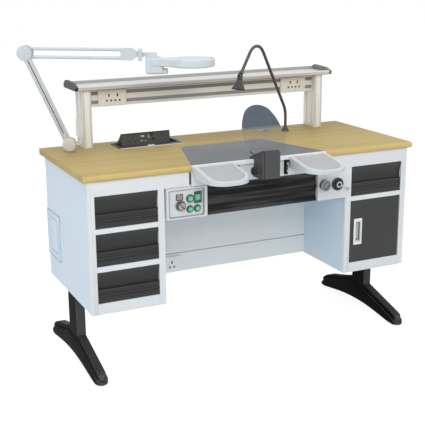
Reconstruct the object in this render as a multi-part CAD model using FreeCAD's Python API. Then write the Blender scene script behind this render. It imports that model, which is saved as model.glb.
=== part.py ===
import FreeCAD, Part
import math
import os

# Technician's bench: two pedestals under a wooden top with a steel work plate, a suction mouth with a
# smoked shield, two armrests, a shelf on a gantry, a pop-up socket box and two lamps on arms.
# Construction axes: +X to the user's right, +Y away from the user, +Z up. Heights count from the top of
# the wooden top, and y = 0 is its rear edge. The last lines move everything so that the origin is the
# middle of the whole bench's box, on the floor.

V = FreeCAD.Vector
X_AXIS = V(1, 0, 0)
Y_AXIS = V(0, 1, 0)
Z_AXIS = V(0, 0, 1)

# ---- driving sizes, millimetres ----
bench_width = 1400.0
bench_depth = 580.0
bench_height = 795.0
top_thickness = 24.0
side_overhang = 15.0
front_overhang = 12.0
pedestal_width = 292.0
pedestal_height = 499.0
panel_thickness = 18.0
stile_width = 25.0
rail_height = 54.0
plate_front_half = 284.0
plate_rear_half = 185.0
plate_depth = 330.0
leg_width = 37.0
foot_width = 41.0
gantry_height = 232.0
post_width = 36.0
post_depth = 94.0
popup_width = 272.0
popup_depth = 120.0
popup_angle = 43.0
armrest_length = 174.0
armrest_width = 166.5
armrest_gap = 117.5
armrest_slope = 9.5
shield_width = 165.0
shield_height = 196.0
shield_lean = 32.0
lamp_swivel = -29.6
lower_arm_length = 388.0
lower_arm_lean = 24.0
upper_arm_length = 372.8
lamp_ring_radius = 86.0
lens_radius = 62.0

# ---- fits ----
pin_clearance = 0.05
slide_clearance = 0.1
front_gap = 1.0
leaf_gap = 0.5

# ---- places worked out from them ----
side_x = bench_width / 2 - side_overhang
inner_x = side_x - pedestal_width
front_y = -bench_depth + front_overhang
back_y = -22.0
under_z = -top_thickness
cabinet_z = under_z - pedestal_height
floor_z = -bench_height
rail_z = under_z - rail_height
stile_out = side_x - stile_width
stile_in = inner_x + stile_width
carcass_y = front_y + panel_thickness
plate_rear_y = front_y + plate_depth

nodes = {}


# ---- small shape makers ----
def box(x0, x1, y0, y1, z0, z1):
    return Part.makeBox(x1 - x0, y1 - y0, z1 - z0, V(x0, y0, z0))


def rod(start, axis, radius, length):
    return Part.makeCylinder(radius, length, V(*start), axis)


def outline(start, steps):
    # steps: a point ends a straight line; a pair of points is an arc through the first to the second
    edges = []
    here = V(*start)
    for step in steps:
        if isinstance(step[0], tuple):
            there = V(*step[1])
            edges.append(Part.Arc(here, V(*step[0]), there).toShape())
        else:
            there = V(*step)
            edges.append(Part.LineSegment(here, there).toShape())
        here = there
    return Part.Face(Part.Wire(edges))


def across(points, x0, x1):
    # a profile of (y, z) points, run along X
    loop = [V(x0, y, z) for y, z in points]
    face = Part.Face(Part.makePolygon(loop + loop[:1]))
    return face.extrude(V(x1 - x0, 0, 0))


def facing(points, y0, y1):
    # a profile of (x, z) points, run along Y
    loop = [V(x, y0, z) for x, z in points]
    face = Part.Face(Part.makePolygon(loop + loop[:1]))
    return face.extrude(V(0, y1 - y0, 0))


def fused(first, *others):
    return first.fuse(list(others)).removeSplitter()


def mirrored(shape):
    return shape.mirror(V(0, 0, 0), X_AXIS)


def both_sides(shapes):
    return list(shapes) + [mirrored(shape) for shape in shapes]


def edges_where(shape, test):
    return [edge for edge in shape.Edges if test(edge.BoundBox)]


# ---- wooden top and steel plate ----
popup_x0 = -bench_width / 2 + 284
popup_x1 = popup_x0 + popup_width
popup_y1 = -55.0
popup_y0 = popup_y1 - popup_depth
well_rim = 8.0
well_depth = 75.0
grommet_x = bench_width / 2 - 414
grommet_y = -76.0
grommet_radius = 24.0
lip_depth = 14.0
plate_sheet = 3.0
plate_flange = 18.0
plate_corner = 30.0
plate_y = front_y
lip_y = -bench_depth - 8.0


def plate_plan(front, z):
    # straight front, sides that draw in, and two round rear corners
    left = V(-plate_front_half, plate_y, z)
    rear = V(-plate_rear_half, plate_rear_y, z)
    side = (rear - left).normalize()
    turn = side.getAngle(X_AXIS)
    tangent = plate_corner * math.tan(turn / 2)
    start = rear - side * tangent
    end = rear + X_AXIS * tangent
    middle = (start + end) / 2
    centre = end - Y_AXIS * plate_corner
    inward = (middle - centre).normalize()
    corner = centre + inward * plate_corner
    points = [(v.x, v.y, z) for v in (start, corner, end)]
    flipped = [(-x, y, z) for x, y, _ in points]
    steps = [(-plate_front_half, plate_y, z), points[0], (points[1], points[2]), flipped[2]]
    steps += [(flipped[1], flipped[0]), (plate_front_half, plate_y, z), (plate_front_half, front, z)]
    steps += [(-plate_front_half, front, z)]
    return outline((-plate_front_half, front, z), steps)


def worktop():
    board = box(-bench_width / 2, bench_width / 2, -bench_depth, 0, under_z, 0)
    nose = edges_where(board, lambda b: b.YMax < 1 - bench_depth and b.XLength > bench_width / 2)
    board = board.makeFillet(top_thickness * 0.42, nose)
    cut_out = plate_plan(-bench_depth - 5, under_z - 1).extrude(V(0, 0, top_thickness + 2))
    board = board.cut(cut_out)
    well = box(popup_x0 + well_rim, popup_x1 - well_rim, popup_y0 + 2, popup_y1 - 4, under_z - 1, 1)
    board = board.cut(well)
    board = board.cut(rod((grommet_x, grommet_y, under_z - 1), Z_AXIS, grommet_radius, top_thickness + 2))
    nodes["worktop"] = [board]


def work_plate():
    # a pan of folded sheet, flush with the top, whose front runs on into a folded lip
    front = plate_y - 0.5
    pan = plate_plan(front, -plate_flange).extrude(V(0, 0, plate_flange))
    inside = plate_plan(front, -plate_flange - 1).makeOffset2D(-plate_sheet)
    inside = inside.extrude(V(0, 0, plate_flange + 1 - plate_sheet))
    front_gate = box(-plate_front_half + plate_sheet, plate_front_half - plate_sheet, front - 1, front + 4,
                     -plate_flange - 1, -plate_sheet)
    pan = pan.cut(inside).cut(front_gate)
    fold = [(front, 0), (lip_y, 0), (lip_y, -lip_depth), (lip_y + 2, -lip_depth), (lip_y + 2, -plate_sheet)]
    fold += [(front, -plate_sheet)]
    lip = across(fold, -plate_front_half, plate_front_half)
    nodes["work_plate"] = [fused(pan, lip)]


# ---- pedestals ----
duct_z0 = -68.0
duct_z1 = -28.0
duct_y0 = -215.0
duct_y1 = -175.0
notch_z = under_z - 58.0
post_beam_z = 160.0


def cabinet(sign, notch_y0, notch_y1):
    # outer side, bottom, back and an inner side that leaves a passage near its top
    plates = [box(side_x - panel_thickness, side_x, carcass_y, back_y, cabinet_z, under_z)]
    plates.append(box(inner_x, inner_x + panel_thickness, carcass_y, back_y, cabinet_z, notch_z))
    plates.append(box(inner_x, inner_x + panel_thickness, carcass_y, notch_y0, notch_z, under_z))
    plates.append(box(inner_x, inner_x + panel_thickness, notch_y1, back_y, notch_z, under_z))
    clear_in = inner_x + panel_thickness
    clear_out = side_x - panel_thickness
    plates.append(box(clear_in, clear_out, carcass_y, back_y, cabinet_z, cabinet_z + panel_thickness))
    plates.append(box(clear_in, clear_out, back_y - panel_thickness, back_y, cabinet_z + panel_thickness, under_z))
    return plates if sign > 0 else [mirrored(plate) for plate in plates]


left_rows = [(-79.0, -198.5), (-217.5, -340.5), (-361.0, -481.0)]
right_rows = [(-79.0, -201.0), (-220.0, -482.0)]
door_pivot_inset = 10.0
door_pin_radius = 3.0


def front_bars(rows):
    # the fixed strips of a pedestal's front, beside, between and below its openings
    bars = [box(stile_out, side_x, front_y, carcass_y, cabinet_z, rail_z)]
    bars.append(box(inner_x, stile_in, front_y, carcass_y, cabinet_z, rail_z))
    edges = [low for _, low in rows]
    tops = [high for high, _ in rows[1:]] + [cabinet_z]
    for upper, lower in zip(edges, tops):
        bars.append(box(stile_in, stile_out, front_y, carcass_y, lower, upper))
    return bars


rail_end = 288.0
apron_half = 286.0
apron_y = -bench_depth
beam_y0 = front_y + 8.0
duct_half = 32.0


def front_frame():
    right = front_bars(right_rows)
    pivot_x = stile_out - door_pivot_inset
    pivot_y = front_y + panel_thickness / 2
    bore = rod((pivot_x, pivot_y, cabinet_z - 1), Z_AXIS, door_pin_radius + pin_clearance, -220 - cabinet_z + 12)
    right = [bar.cut(bore) for bar in right]
    bars = right + [mirrored(bar) for bar in front_bars(left_rows)]
    rail = box(rail_end, side_x, front_y, beam_y0, rail_z, under_z)
    block = box(inner_x, side_x, beam_y0, carcass_y, rail_z, under_z)
    beam = box(duct_half, inner_x, beam_y0, carcass_y, rail_z, under_z)
    apron = box(duct_half, apron_half, apron_y, beam_y0, rail_z, under_z)
    riser = box(0, plate_front_half, apron_y, plate_y - 1, under_z, -plate_sheet)
    bars += both_sides([rail, block, beam, apron, riser])
    bars.append(box(-duct_half, duct_half, apron_y, carcass_y, rail_z, duct_z0))
    bars.append(box(-duct_half, duct_half, apron_y, carcass_y, duct_z1, under_z))
    bars.append(box(-inner_x, inner_x, -45, back_y, rail_z, under_z))
    nodes["front_frame"] = bars


def side_cover():
    x0 = -side_x - 3
    plate = box(x0, -side_x, -200, -25, -430, -239)
    corner = edges_where(plate, lambda b: b.XLength > 2 and b.YMax < -199 and b.ZMin > -240)
    plate = plate.makeFillet(40.0, corner)
    raised = box(x0 - 2, x0, -170, -78, -402, -261)
    screws = [rod((x0, y, z), X_AXIS * -1, 4, 1.5) for y in (-186, -40) for z in (-418, -300)]
    nodes["side_cover"] = [fused(plate, raised, *screws)]


panel_y = front_y + 318
seam_z = -440.0


def kneehole_panel():
    upper = box(-inner_x, inner_x, panel_y, panel_y + 16, seam_z + 2, rail_z)
    strip = box(-inner_x, inner_x, panel_y + 6, panel_y + 16, seam_z - 2, seam_z + 2)
    lower = box(-inner_x, inner_x, panel_y, panel_y + 16, cabinet_z + 3, seam_z - 2)
    nodes["kneehole_panel"] = [upper, strip, lower]


# ---- legs ----
column_depth = 92.0
foot_front = -bench_depth - 17.0
foot_rear = 5.0
column_y0 = foot_front + 248
column_y1 = column_y0 + column_depth
glide_height = 6.0


def leg():
    inner = side_x - leg_width
    column = box(inner, side_x, column_y0, column_y1, floor_z + 100, cabinet_z)
    column = column.makeFillet(6.0, edges_where(column, lambda b: b.ZLength > 50))
    x0 = side_x - foot_width

    def at(y, height):
        return (x0, y, floor_z + height)

    arch_front = foot_front + 147
    arch_rear = foot_rear - 85
    steps = [at(foot_rear - 17, 43), (at(foot_rear - 53, 71), at(foot_rear - 100, 84)), at(column_y1 + 70, 106)]
    steps += [(at(column_y1 + 32, 116), at(column_y1, 125)), at(column_y0, 112), at(foot_front + 37, 52)]
    steps += [(at(foot_front + 11, 42), at(foot_front, 25)), at(foot_front + 3, glide_height)]
    steps += [at(arch_front, glide_height), (at((arch_front + arch_rear) / 2, 38), at(arch_rear, glide_height))]
    steps += [at(foot_rear, glide_height), at(foot_rear, 30)]
    foot = outline(at(foot_rear, 30), steps).extrude(V(foot_width, 0, 0))
    glide_x = side_x - foot_width / 2
    glides = [rod((glide_x, y, floor_z), Z_AXIS, 17, glide_height) for y in (foot_front + 31, foot_rear - 29)]
    return [fused(column, foot)] + glides


def legs():
    nodes["legs"] = both_sides(leg())


# ---- gantry ----
post_left = -bench_width / 2 + 160
post_right = bench_width / 2 - 173
post_y0 = -1.0 - post_depth
beam_depth = 40.0
beam_front = -68.0
slot_heights = (178.5, 214.0)
shelf_x0 = -bench_width / 2 + 127
shelf_x1 = bench_width / 2 - 97
cap_width = 14.0


def gantry_post(x0):
    post = box(x0, x0 + post_width, post_y0, -1, 0, gantry_height)
    for y in (-72, -26):
        for face_x in (x0, x0 + post_width - 6):
            post = post.cut(box(face_x, face_x + 6, y - 5, y + 5, 0, gantry_height))
    bolts = [rod((x, y, 13), X_AXIS * way, 5, 3) for x, way in ((x0, -1), (x0 + post_width, 1)) for y in (-13, -58)]
    return fused(post, *bolts)


def gantry_frame():
    # two posts and between them an extruded bar with two undercut slots along its front
    y = beam_front
    points = [(y, post_beam_z)]
    for middle in slot_heights:
        points += [(y, middle - 7), (y + 4, middle - 7), (y + 4, middle - 10), (y + 11, middle - 10)]
        points += [(y + 11, middle + 10), (y + 4, middle + 10), (y + 4, middle + 7), (y, middle + 7)]
    points += [(y, gantry_height), (y + beam_depth, gantry_height), (y + beam_depth, post_beam_z)]
    beam = across(points, post_left + post_width, post_right)
    nodes["gantry_frame"] = [gantry_post(post_left), gantry_post(post_right), beam]


def gantry_shelf():
    z = gantry_height
    tray = [(-107, z), (-113, z + 14), (-111, z + 18), (-104, z + 18), (-100, z + 11), (30, z + 11)]
    tray += [(36, z + 22), (42, z + 24), (47, z + 16), (45, z)]
    nodes["gantry_shelf"] = [across(tray, shelf_x0 + cap_width, shelf_x1 - cap_width)]
    cap = [(-107, z), (-113, z + 15), (-73, z + 28), (22, z + 32), (47, z + 16), (45, z)]
    left = across(cap, shelf_x0, shelf_x0 + cap_width)
    right = across(cap, shelf_x1 - cap_width, shelf_x1)
    nodes["shelf_end_caps"] = [left, right]


# ---- sockets ----
def pin_holes(x, z, face_y, depth):
    # one three-pin outlet: an upright slot over two slots lying down
    holes = [box(x - 2.5, x + 2.5, face_y - 1, face_y + depth, z + 4, z + 15)]
    holes += [box(x + s * 11 - 4, x + s * 11 + 4, face_y - 1, face_y + depth, z - 14, z - 8) for s in (-1, 1)]
    return holes


def socket_plate(x0, x1, z0, z1, back, outlets):
    plate = box(x0, x1, back - 7, back, z0, z1)
    plate = plate.makeFillet(2.5, edges_where(plate, lambda b: b.YMax < back - 6.9))
    for x in outlets:
        for hole in pin_holes(x, (z0 + z1) / 2, back - 7, 5):
            plate = plate.cut(hole)
    return plate


def power_sockets():
    z0 = post_beam_z
    z1 = z0 + 66
    left = post_left + post_width + 36
    right = post_right - 38
    knee = -inner_x + 113
    plates = [socket_plate(left, left + 120, z0, z1, beam_front, (left + 30, left + 90))]
    plates.append(socket_plate(right - 123, right, z0, z1, beam_front, (right - 92, right - 31)))
    plates.append(socket_plate(knee, knee + 80, seam_z - 76, seam_z - 10, panel_y, (knee + 40,)))
    side = box(post_left - 8, post_left, -84, -12, 38, 115)
    plates.append(side.makeFillet(3.0, edges_where(side, lambda b: b.XMax < post_left - 7.9)))
    plates.append(mirrored(plates[-1]).translated(V(post_right + post_width + post_left, 0, 0)))
    nodes["power_sockets"] = plates


# ---- panels under the apron ----
panel_face = front_y - 6.0
control_width = 162.0
control_height = 115.5
control_x0 = -inner_x + 7
control_x1 = control_x0 + control_width
control_z1 = rail_z - 3.5
control_z0 = control_z1 - control_height
knob_at = (control_x0 + 53, control_z0 + 51)
rocker_x = (control_x0 + 109, control_x0 + 135)
rocker_z = (control_z0 + 58, control_z0 + 95)
button_at = [(control_x0 + 92, control_z0 + 74, 13.0)]
button_at += [(control_x0 + x, control_z0 + 34, 11.5) for x in (91, 121)]
valve_width = 135.0
valve_x0 = inner_x - valve_width
gauge_at = (valve_x0 + 29, rail_z - 59)
valve_at = (valve_x0 + 88, rail_z - 60)
housing_back = front_y + 268


def service_housing(x0, x1, z0, z1, face_x0, face_x1, face_z0, face_z1):
    # five boards of a housing, and the face plate in front of them
    t = 4.0
    boards = [box(x0, x0 + t, front_y, housing_back, z0, z1), box(x1 - t, x1, front_y, housing_back, z0, z1)]
    boards += [box(x0 + t, x1 - t, front_y, housing_back, z, z + t) for z in (z0, z1 - t)]
    boards += [box(x0 + t, x1 - t, housing_back - t, housing_back, z0 + t, z1 - t)]
    return boards, box(face_x0, face_x1, panel_face, front_y, face_z0, face_z1)


def service_panels():
    sides = (control_x0, control_x1)
    boards, control = service_housing(*sides, control_z0, rail_z, *sides, control_z0, control_z1)
    frame = box(control_x0, control_x1, panel_face - 4, panel_face, control_z0, control_z1)
    sight = (control_x0 + 7, control_x1 - 12, panel_face - 4, panel_face, control_z0 + 6, control_z1 - 5.5)
    frame = frame.cut(box(*sight))
    shown_x, shown_z = control_x0 + 36, control_z0 + 72
    display = box(shown_x, shown_x + 27, panel_face - 1.5, panel_face, shown_z, shown_z + 22)
    dial = rod((knob_at[0], panel_face, knob_at[1]), Y_AXIS * -1, 20, 1.5)
    control = fused(control, frame, display, dial)
    for x, z, radius in button_at:
        rim = rod((x, panel_face, z), Y_AXIS * -1, radius + 1.5, 2)
        control = control.fuse(rim)
        control = control.cut(rod((x, front_y + 1, z), Y_AXIS * -1, radius - 2 + pin_clearance, 12))
    control = control.cut(rod((knob_at[0], front_y + 1, knob_at[1]), Y_AXIS * -1, 3 + pin_clearance, 12))
    rocker_frame = box(rocker_x[0] - 1, rocker_x[1] + 3, panel_face - 3, panel_face, rocker_z[0] - 3, rocker_z[1] + 3)
    control = control.fuse(rocker_frame)
    opening = box(rocker_x[0], rocker_x[1], panel_face - 4, front_y + 1, rocker_z[0], rocker_z[1])
    control = control.cut(opening)
    rocker_mid = (rocker_z[0] + rocker_z[1]) / 2
    pin = rod((rocker_x[0], panel_face + 1, rocker_mid), X_AXIS, 1.5, rocker_x[1] - rocker_x[0])
    control = control.fuse(pin)
    valve_box = (valve_x0, inner_x, control_z0 - 2, rail_z)
    more, valve = service_housing(*valve_box, *valve_box)
    valve = valve.cut(rod((valve_at[0], front_y + 1, valve_at[1]), Y_AXIS * -1, 4 + pin_clearance, 12))
    nodes["service_panels"] = [control.removeSplitter(), valve] + boards + more


def pressure_gauge():
    x, z = gauge_at
    body = rod((x, panel_face, z), Y_AXIS * -1, 22, 14)
    body = body.cut(rod((x, panel_face - 12, z), Y_AXIS * -1, 18.5, 3))
    needle = box(x - 0.8, x + 0.8, panel_face - 13, panel_face - 12, z - 4, z + 14)
    hub = rod((x, panel_face - 12, z), Y_AXIS * -1, 3, 1.2)
    nodes["pressure_gauge"] = [fused(body, needle, hub)]


def air_valve():
    x, z = valve_at
    ring = rod((x, panel_face, z), Y_AXIS * -1, 26, 10)
    ring = ring.makeChamfer(2.0, edges_where(ring, lambda b: b.YLength < 1 and b.YMax < panel_face - 9))
    ring = ring.cut(rod((x, panel_face, z), Y_AXIS * -1, 4 + pin_clearance, 12))
    nodes["air_valve_body"] = [ring]
    face = panel_face - 10 - leaf_gap
    stem = rod((x, front_y - 0.5, z), Y_AXIS * -1, 4, front_y - face)
    cap = rod((x, face, z), Y_AXIS * -1, 12.5, 8)
    reach = V(45, 0, -22)
    direction = V(reach).normalize()
    start = V(x, face - 5, z)
    bar = Part.makeCylinder(3, reach.Length, start, direction)
    ball = Part.makeSphere(5, start + reach)
    nodes["air_valve_lever"] = [fused(stem, cap, bar, ball)]


def control_knob():
    x, z = knob_at
    face = panel_face - 1.5 - leaf_gap
    shaft = rod((x, front_y, z), Y_AXIS * -1, 3, front_y - face)
    skirt = rod((x, face, z), Y_AXIS * -1, 18, 5)
    cap = Part.makeCone(15, 13, 14, V(x, face - 5, z), Y_AXIS * -1)
    ridge = box(x - 2, x + 2, face - 21, face - 5, z - 12, z + 12)
    nodes["control_knob"] = [fused(shaft, skirt, cap, ridge)]


def power_rocker():
    gap = 1.3
    x0, x1 = rocker_x[0] + 0.4, rocker_x[1] - 0.4
    middle = (rocker_z[0] + rocker_z[1]) / 2
    half = (rocker_z[1] - rocker_z[0]) / 2 - gap
    face = panel_face - 6
    points = [(panel_face + 3, middle - 5), (panel_face - 2, middle - half), (face - 1, middle - half)]
    points += [(face + 1.5, middle), (face - 1, middle + half), (panel_face - 2, middle + half)]
    points += [(panel_face + 3, middle + 5)]
    body = across(points, x0, x1)
    body = body.cut(rod((x0 - 1, panel_face + 1, middle), X_AXIS, 1.5 + pin_clearance, x1 - x0 + 2))
    nodes["power_rocker"] = [body]


def push_buttons():
    for number, (x, z, radius) in enumerate(button_at, 1):
        stem = rod((x, front_y - 1, z), Y_AXIS * -1, radius - 2, 10)
        head = rod((x, panel_face - 5, z), Y_AXIS * -1, radius, 4)
        head = head.makeChamfer(1.5, edges_where(head, lambda b: b.YMax < panel_face - 8.9))
        nodes["push_button_%d" % number] = [fused(stem, head)]


# ---- drawers and door ----
runner_gap = 15.0
runner_fixed = 8.0


def front_profile(z0, z1, crease):
    # a handle-less front: a cove behind a lip that fingers reach over, with two shallow flutes below
    height = z1 - z0
    lip = z0 + height * crease
    y = front_y
    back = carcass_y
    flute = (lip - z0) / 2
    steps = [(back, z1), (back, z0), (y + 1, z0), ((y + 4, z0 + flute * 0.5), (y + 1, z0 + flute))]
    steps += [((y + 4, z0 + flute * 1.5), (y, lip - 3)), (y + 2, lip), (y + 11, lip)]
    steps += [((y + 8.5, lip + (z1 - lip) * 0.5), (y + 1, z1 - 8)), (y + 1, z1)]
    return steps


def coved_front(x0, x1, z0, z1, crease):
    def place(step):
        if isinstance(step[0], tuple):
            return tuple((x0, y, z) for y, z in step)
        return (x0,) + step

    steps = [place(step) for step in front_profile(z0, z1, crease)]
    return outline(steps[0], steps[1:] + [steps[0]]).extrude(V(x1 - x0, 0, 0))


def fluted_front(x0, x1, z0, z1):
    # two deep concave flutes with lips between them
    y = front_y
    band = (z1 - z0 - 12) / 2
    steps = [(x0, carcass_y, z0), (x0, y, z0), (x0, y, z0 + 4)]
    steps += [((x0, y + 9, z0 + 4 + band * 0.55), (x0, y + 1, z0 + 4 + band)), (x0, y + 1, z0 + 8 + band)]
    steps += [((x0, y + 9, z0 + 8 + band * 1.55), (x0, y, z0 + 8 + band * 2)), (x0, y, z1)]
    return outline((x0, carcass_y, z1), steps + [(x0, carcass_y, z1)]).extrude(V(x1 - x0, 0, 0))


def drawer_box(x0, x1, y1, z0, z1):
    # bottom, sides, front and back as separate boards, with the moving rails on the sides
    t = 12.0
    rail = runner_gap - runner_fixed - slide_clearance
    y0 = carcass_y
    boards = [box(x0, x1, y0, y1, z0, z0 + 6)]
    boards += [box(x0, x0 + t, y0, y1, z0 + 6, z1), box(x1 - t, x1, y0, y1, z0 + 6, z1)]
    boards += [box(x0 + t, x1 - t, y0, y0 + t, z0 + 6, z1), box(x0 + t, x1 - t, y1 - t, y1, z0 + 6, z1)]
    middle = (z0 + z1) / 2
    boards += [box(x0 - rail, x0, y0 + 4, y1, middle - 12, middle + 12)]
    boards += [box(x1, x1 + rail, y0 + 4, y1, middle - 12, middle + 12)]
    return boards


def fixed_rails(x0, x1, y1, z0, z1):
    # the carcass half of the runners: a web with two flanges around the drawer's rail
    y0 = carcass_y + 4
    middle = (z0 + z1) / 2
    rails = []
    for x, way in ((x0, 1), (x1, -1)):
        web = sorted((x, x + way * runner_fixed))
        flange = sorted((x, x + way * (runner_gap - 2)))
        rails.append(box(web[0], web[1], y0, y1, middle - 12 - slide_clearance, middle + 12 + slide_clearance))
        for z in (middle - 12 - slide_clearance - 3, middle + 12 + slide_clearance):
            rails.append(box(flange[0], flange[1], y0, y1, z, z + 3))
    return rails


drawer_depth = bench_depth - 100
right_drawer_depth = drawer_depth - 160
centre_drawer_depth = drawer_depth / 2
box_drop = 14.0
centre_x0 = control_x1 + front_gap
centre_x1 = valve_x0 - 3 * front_gap


def drawers():
    clear_in = inner_x + panel_thickness
    clear_out = side_x - panel_thickness
    y1 = carcass_y + drawer_depth
    runners = []
    names = ("top", "middle", "bottom")
    for name, (high, low) in zip(names, left_rows):
        z0, z1 = low + 8, high - box_drop
        front = coved_front(-stile_out + front_gap, -stile_in - front_gap, low + front_gap, high - front_gap, 0.45)
        nodes["left_drawer_%s_front" % name] = [front]
        nodes["left_drawer_%s_box" % name] = drawer_box(-clear_out + runner_gap, -clear_in - runner_gap, y1, z0, z1)
        runners += fixed_rails(-clear_out, -clear_in, y1, z0, z1)
    high, low = right_rows[0]
    z0, z1 = low + 8, high - box_drop
    front = coved_front(stile_in + front_gap, stile_out - front_gap, low + front_gap, high - front_gap, 0.45)
    nodes["right_drawer_front"] = [front]
    y2 = carcass_y + right_drawer_depth
    nodes["right_drawer_box"] = drawer_box(clear_in + runner_gap, clear_out - runner_gap, y2, z0, z1)
    runners += fixed_rails(clear_in, clear_out, y2, z0, z1)
    z0, z1 = control_z0 + 7, rail_z - box_drop
    nodes["centre_drawer_front"] = [fluted_front(centre_x0, centre_x1, control_z0 - 1, rail_z - 1.5)]
    y3 = carcass_y + centre_drawer_depth
    nodes["centre_drawer_box"] = drawer_box(control_x1 + runner_gap, valve_x0 - runner_gap, y3, z0, z1)
    runners += fixed_rails(control_x1, valve_x0, y3, z0, z1)
    nodes["drawer_runners"] = runners


pull_x0 = stile_in + 18
pull_x1 = pull_x0 + 39
pull_z0 = -407.0
pull_z1 = -297.0
pull_wall = 9.0


def door():
    high, low = right_rows[1]
    z0, z1 = low + front_gap, high - front_gap
    pivot_x = stile_out - door_pivot_inset
    pivot_y = front_y + panel_thickness / 2
    leaf = box(stile_in + front_gap, pivot_x, front_y, carcass_y, z0, z1)
    edge = rod((pivot_x, pivot_y, z0), Z_AXIS, panel_thickness / 2, z1 - z0)
    leaf = leaf.fuse(edge)
    pocket = box(pull_x0 + 4, pull_x1 - 4, front_y, front_y + 15, pull_z0 + 4, pull_z1 - 4)
    pins = rod((pivot_x, pivot_y, z0 - 9), Z_AXIS, door_pin_radius, z1 - z0 + 18)
    nodes["right_door"] = [leaf.cut(pocket).fuse(pins).removeSplitter()]
    pull = box(pull_x0, pull_x1, front_y - 3, front_y, pull_z0, pull_z1)
    cup = box(pull_x0 + 4, pull_x1 - 4, front_y, front_y + 15, pull_z0 + 4, pull_z1 - 4)
    pull = pull.fuse(cup)
    recess = box(pull_x0 + pull_wall, pull_x1 - 6, front_y - 3, front_y + 13, pull_z0 + 11, pull_z1 - 12)
    nodes["door_pull"] = [pull.cut(recess).removeSplitter()]


# ---- suction ----
scoop_half = 35.0
scoop_depth = 66.0
scoop_back = -bench_depth - 9.0
scoop_front = scoop_back - scoop_depth
scoop_bottom = -65.0
scoop_top = 45.0
scoop_wall = 4.0


def suction_mouth():
    # a sheet box with a mouth in its sloping top, and a tongue that lies over the plate's front lip
    def top_at(y):
        return scoop_top - (y - scoop_front) * 0.39

    side = [(scoop_front, scoop_bottom), (scoop_front, scoop_top), (scoop_back, top_at(scoop_back))]
    side += [(scoop_back, scoop_bottom)]
    walls = [across(side, -scoop_half, -scoop_half + scoop_wall), across(side, scoop_half - scoop_wall, scoop_half)]
    inner = scoop_half - scoop_wall
    walls.append(box(-inner, inner, scoop_front, scoop_back, scoop_bottom, scoop_bottom + scoop_wall))
    walls.append(box(-inner, inner, scoop_front, scoop_front + scoop_wall, scoop_bottom + scoop_wall, scoop_top - 2))
    back_wall = box(-inner, inner, scoop_back - scoop_wall, scoop_back, duct_z1, 0)
    walls.append(back_wall)
    tongue = [(scoop_back, 0.5), (scoop_back, top_at(scoop_back)), (scoop_back + 34, 6), (scoop_back + 34, 0.5)]
    walls.append(across(tongue, -scoop_half, scoop_half))
    walls.append(box(-inner, inner, scoop_back - scoop_wall, scoop_back, 0, top_at(scoop_back) - 1))
    nodes["suction_mouth"] = walls
    cover = box(-scoop_half - 2, scoop_half + 2, scoop_front - 7, scoop_front, scoop_bottom + 3, scoop_top)
    cover = cover.makeFillet(14.0, edges_where(cover, lambda b: b.YLength > 5 and b.ZMin > scoop_top - 1))
    cover = cover.cut(box(-scoop_half + 4, -scoop_half + 7, scoop_front - 8, scoop_front - 4, -100, 100))
    nodes["suction_mouth"].append(cover)


def suction_duct():
    wall = 2.0
    run = box(-duct_half, duct_half, scoop_back, duct_y1, duct_z0, duct_z1)
    turn = box(duct_half, stile_in + 60, duct_y0, duct_y1, duct_z0, duct_z1)
    drop = rod((stile_in + 30, duct_y1 + 45, -300), Z_AXIS, 30, 300 + duct_z1 - 6)
    elbow = box(stile_in - 2, stile_in + 62, duct_y0, duct_y1 + 80, duct_z0, duct_z1)
    hollow_run = box(-duct_half + wall, duct_half - wall, scoop_back, duct_y1 - wall, duct_z0 + wall, duct_z1 - wall)
    outer = fused(run, turn, elbow, drop)
    nodes["suction_duct"] = [outer.cut(hollow_run)]


def dust_extractor():
    x0 = inner_x + panel_thickness + 20
    x1 = side_x - panel_thickness - 20
    z0 = cabinet_z + panel_thickness
    body = box(x0, x1, carcass_y + 130, back_y - 58, z0, -300)
    body = body.makeFillet(12.0, edges_where(body, lambda b: b.ZLength > 50))
    motor = rod(((x0 + x1) / 2 + 30, carcass_y + 250, -300), Z_AXIS, 55, 40)
    nodes["dust_extractor"] = [fused(body, motor)]


# ---- armrests ----
armrest_y = lip_y - 2.5
armrest_top = -2.5
armrest_depth = 42.0
armrest_inner_corner = 74.0
armrest_outer_corner = 64.0
pad_inset = 17.0
pad_thickness = 8.0


def rounded_plan(x0, x1, y0, y1, inner, outer, z):
    # straight at the back, with a large round corner at each end of the front
    k = 1 - math.sqrt(0.5)
    steps = [(x0, y0 + inner, z), ((x0 + k * inner, y0 + k * inner, z), (x0 + inner, y0, z))]
    steps += [(x1 - outer, y0, z), ((x1 - k * outer, y0 + k * outer, z), (x1, y0 + outer, z))]
    steps += [(x1, y1, z), (x0, y1, z)]
    return outline((x0, y1, z), steps)


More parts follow.
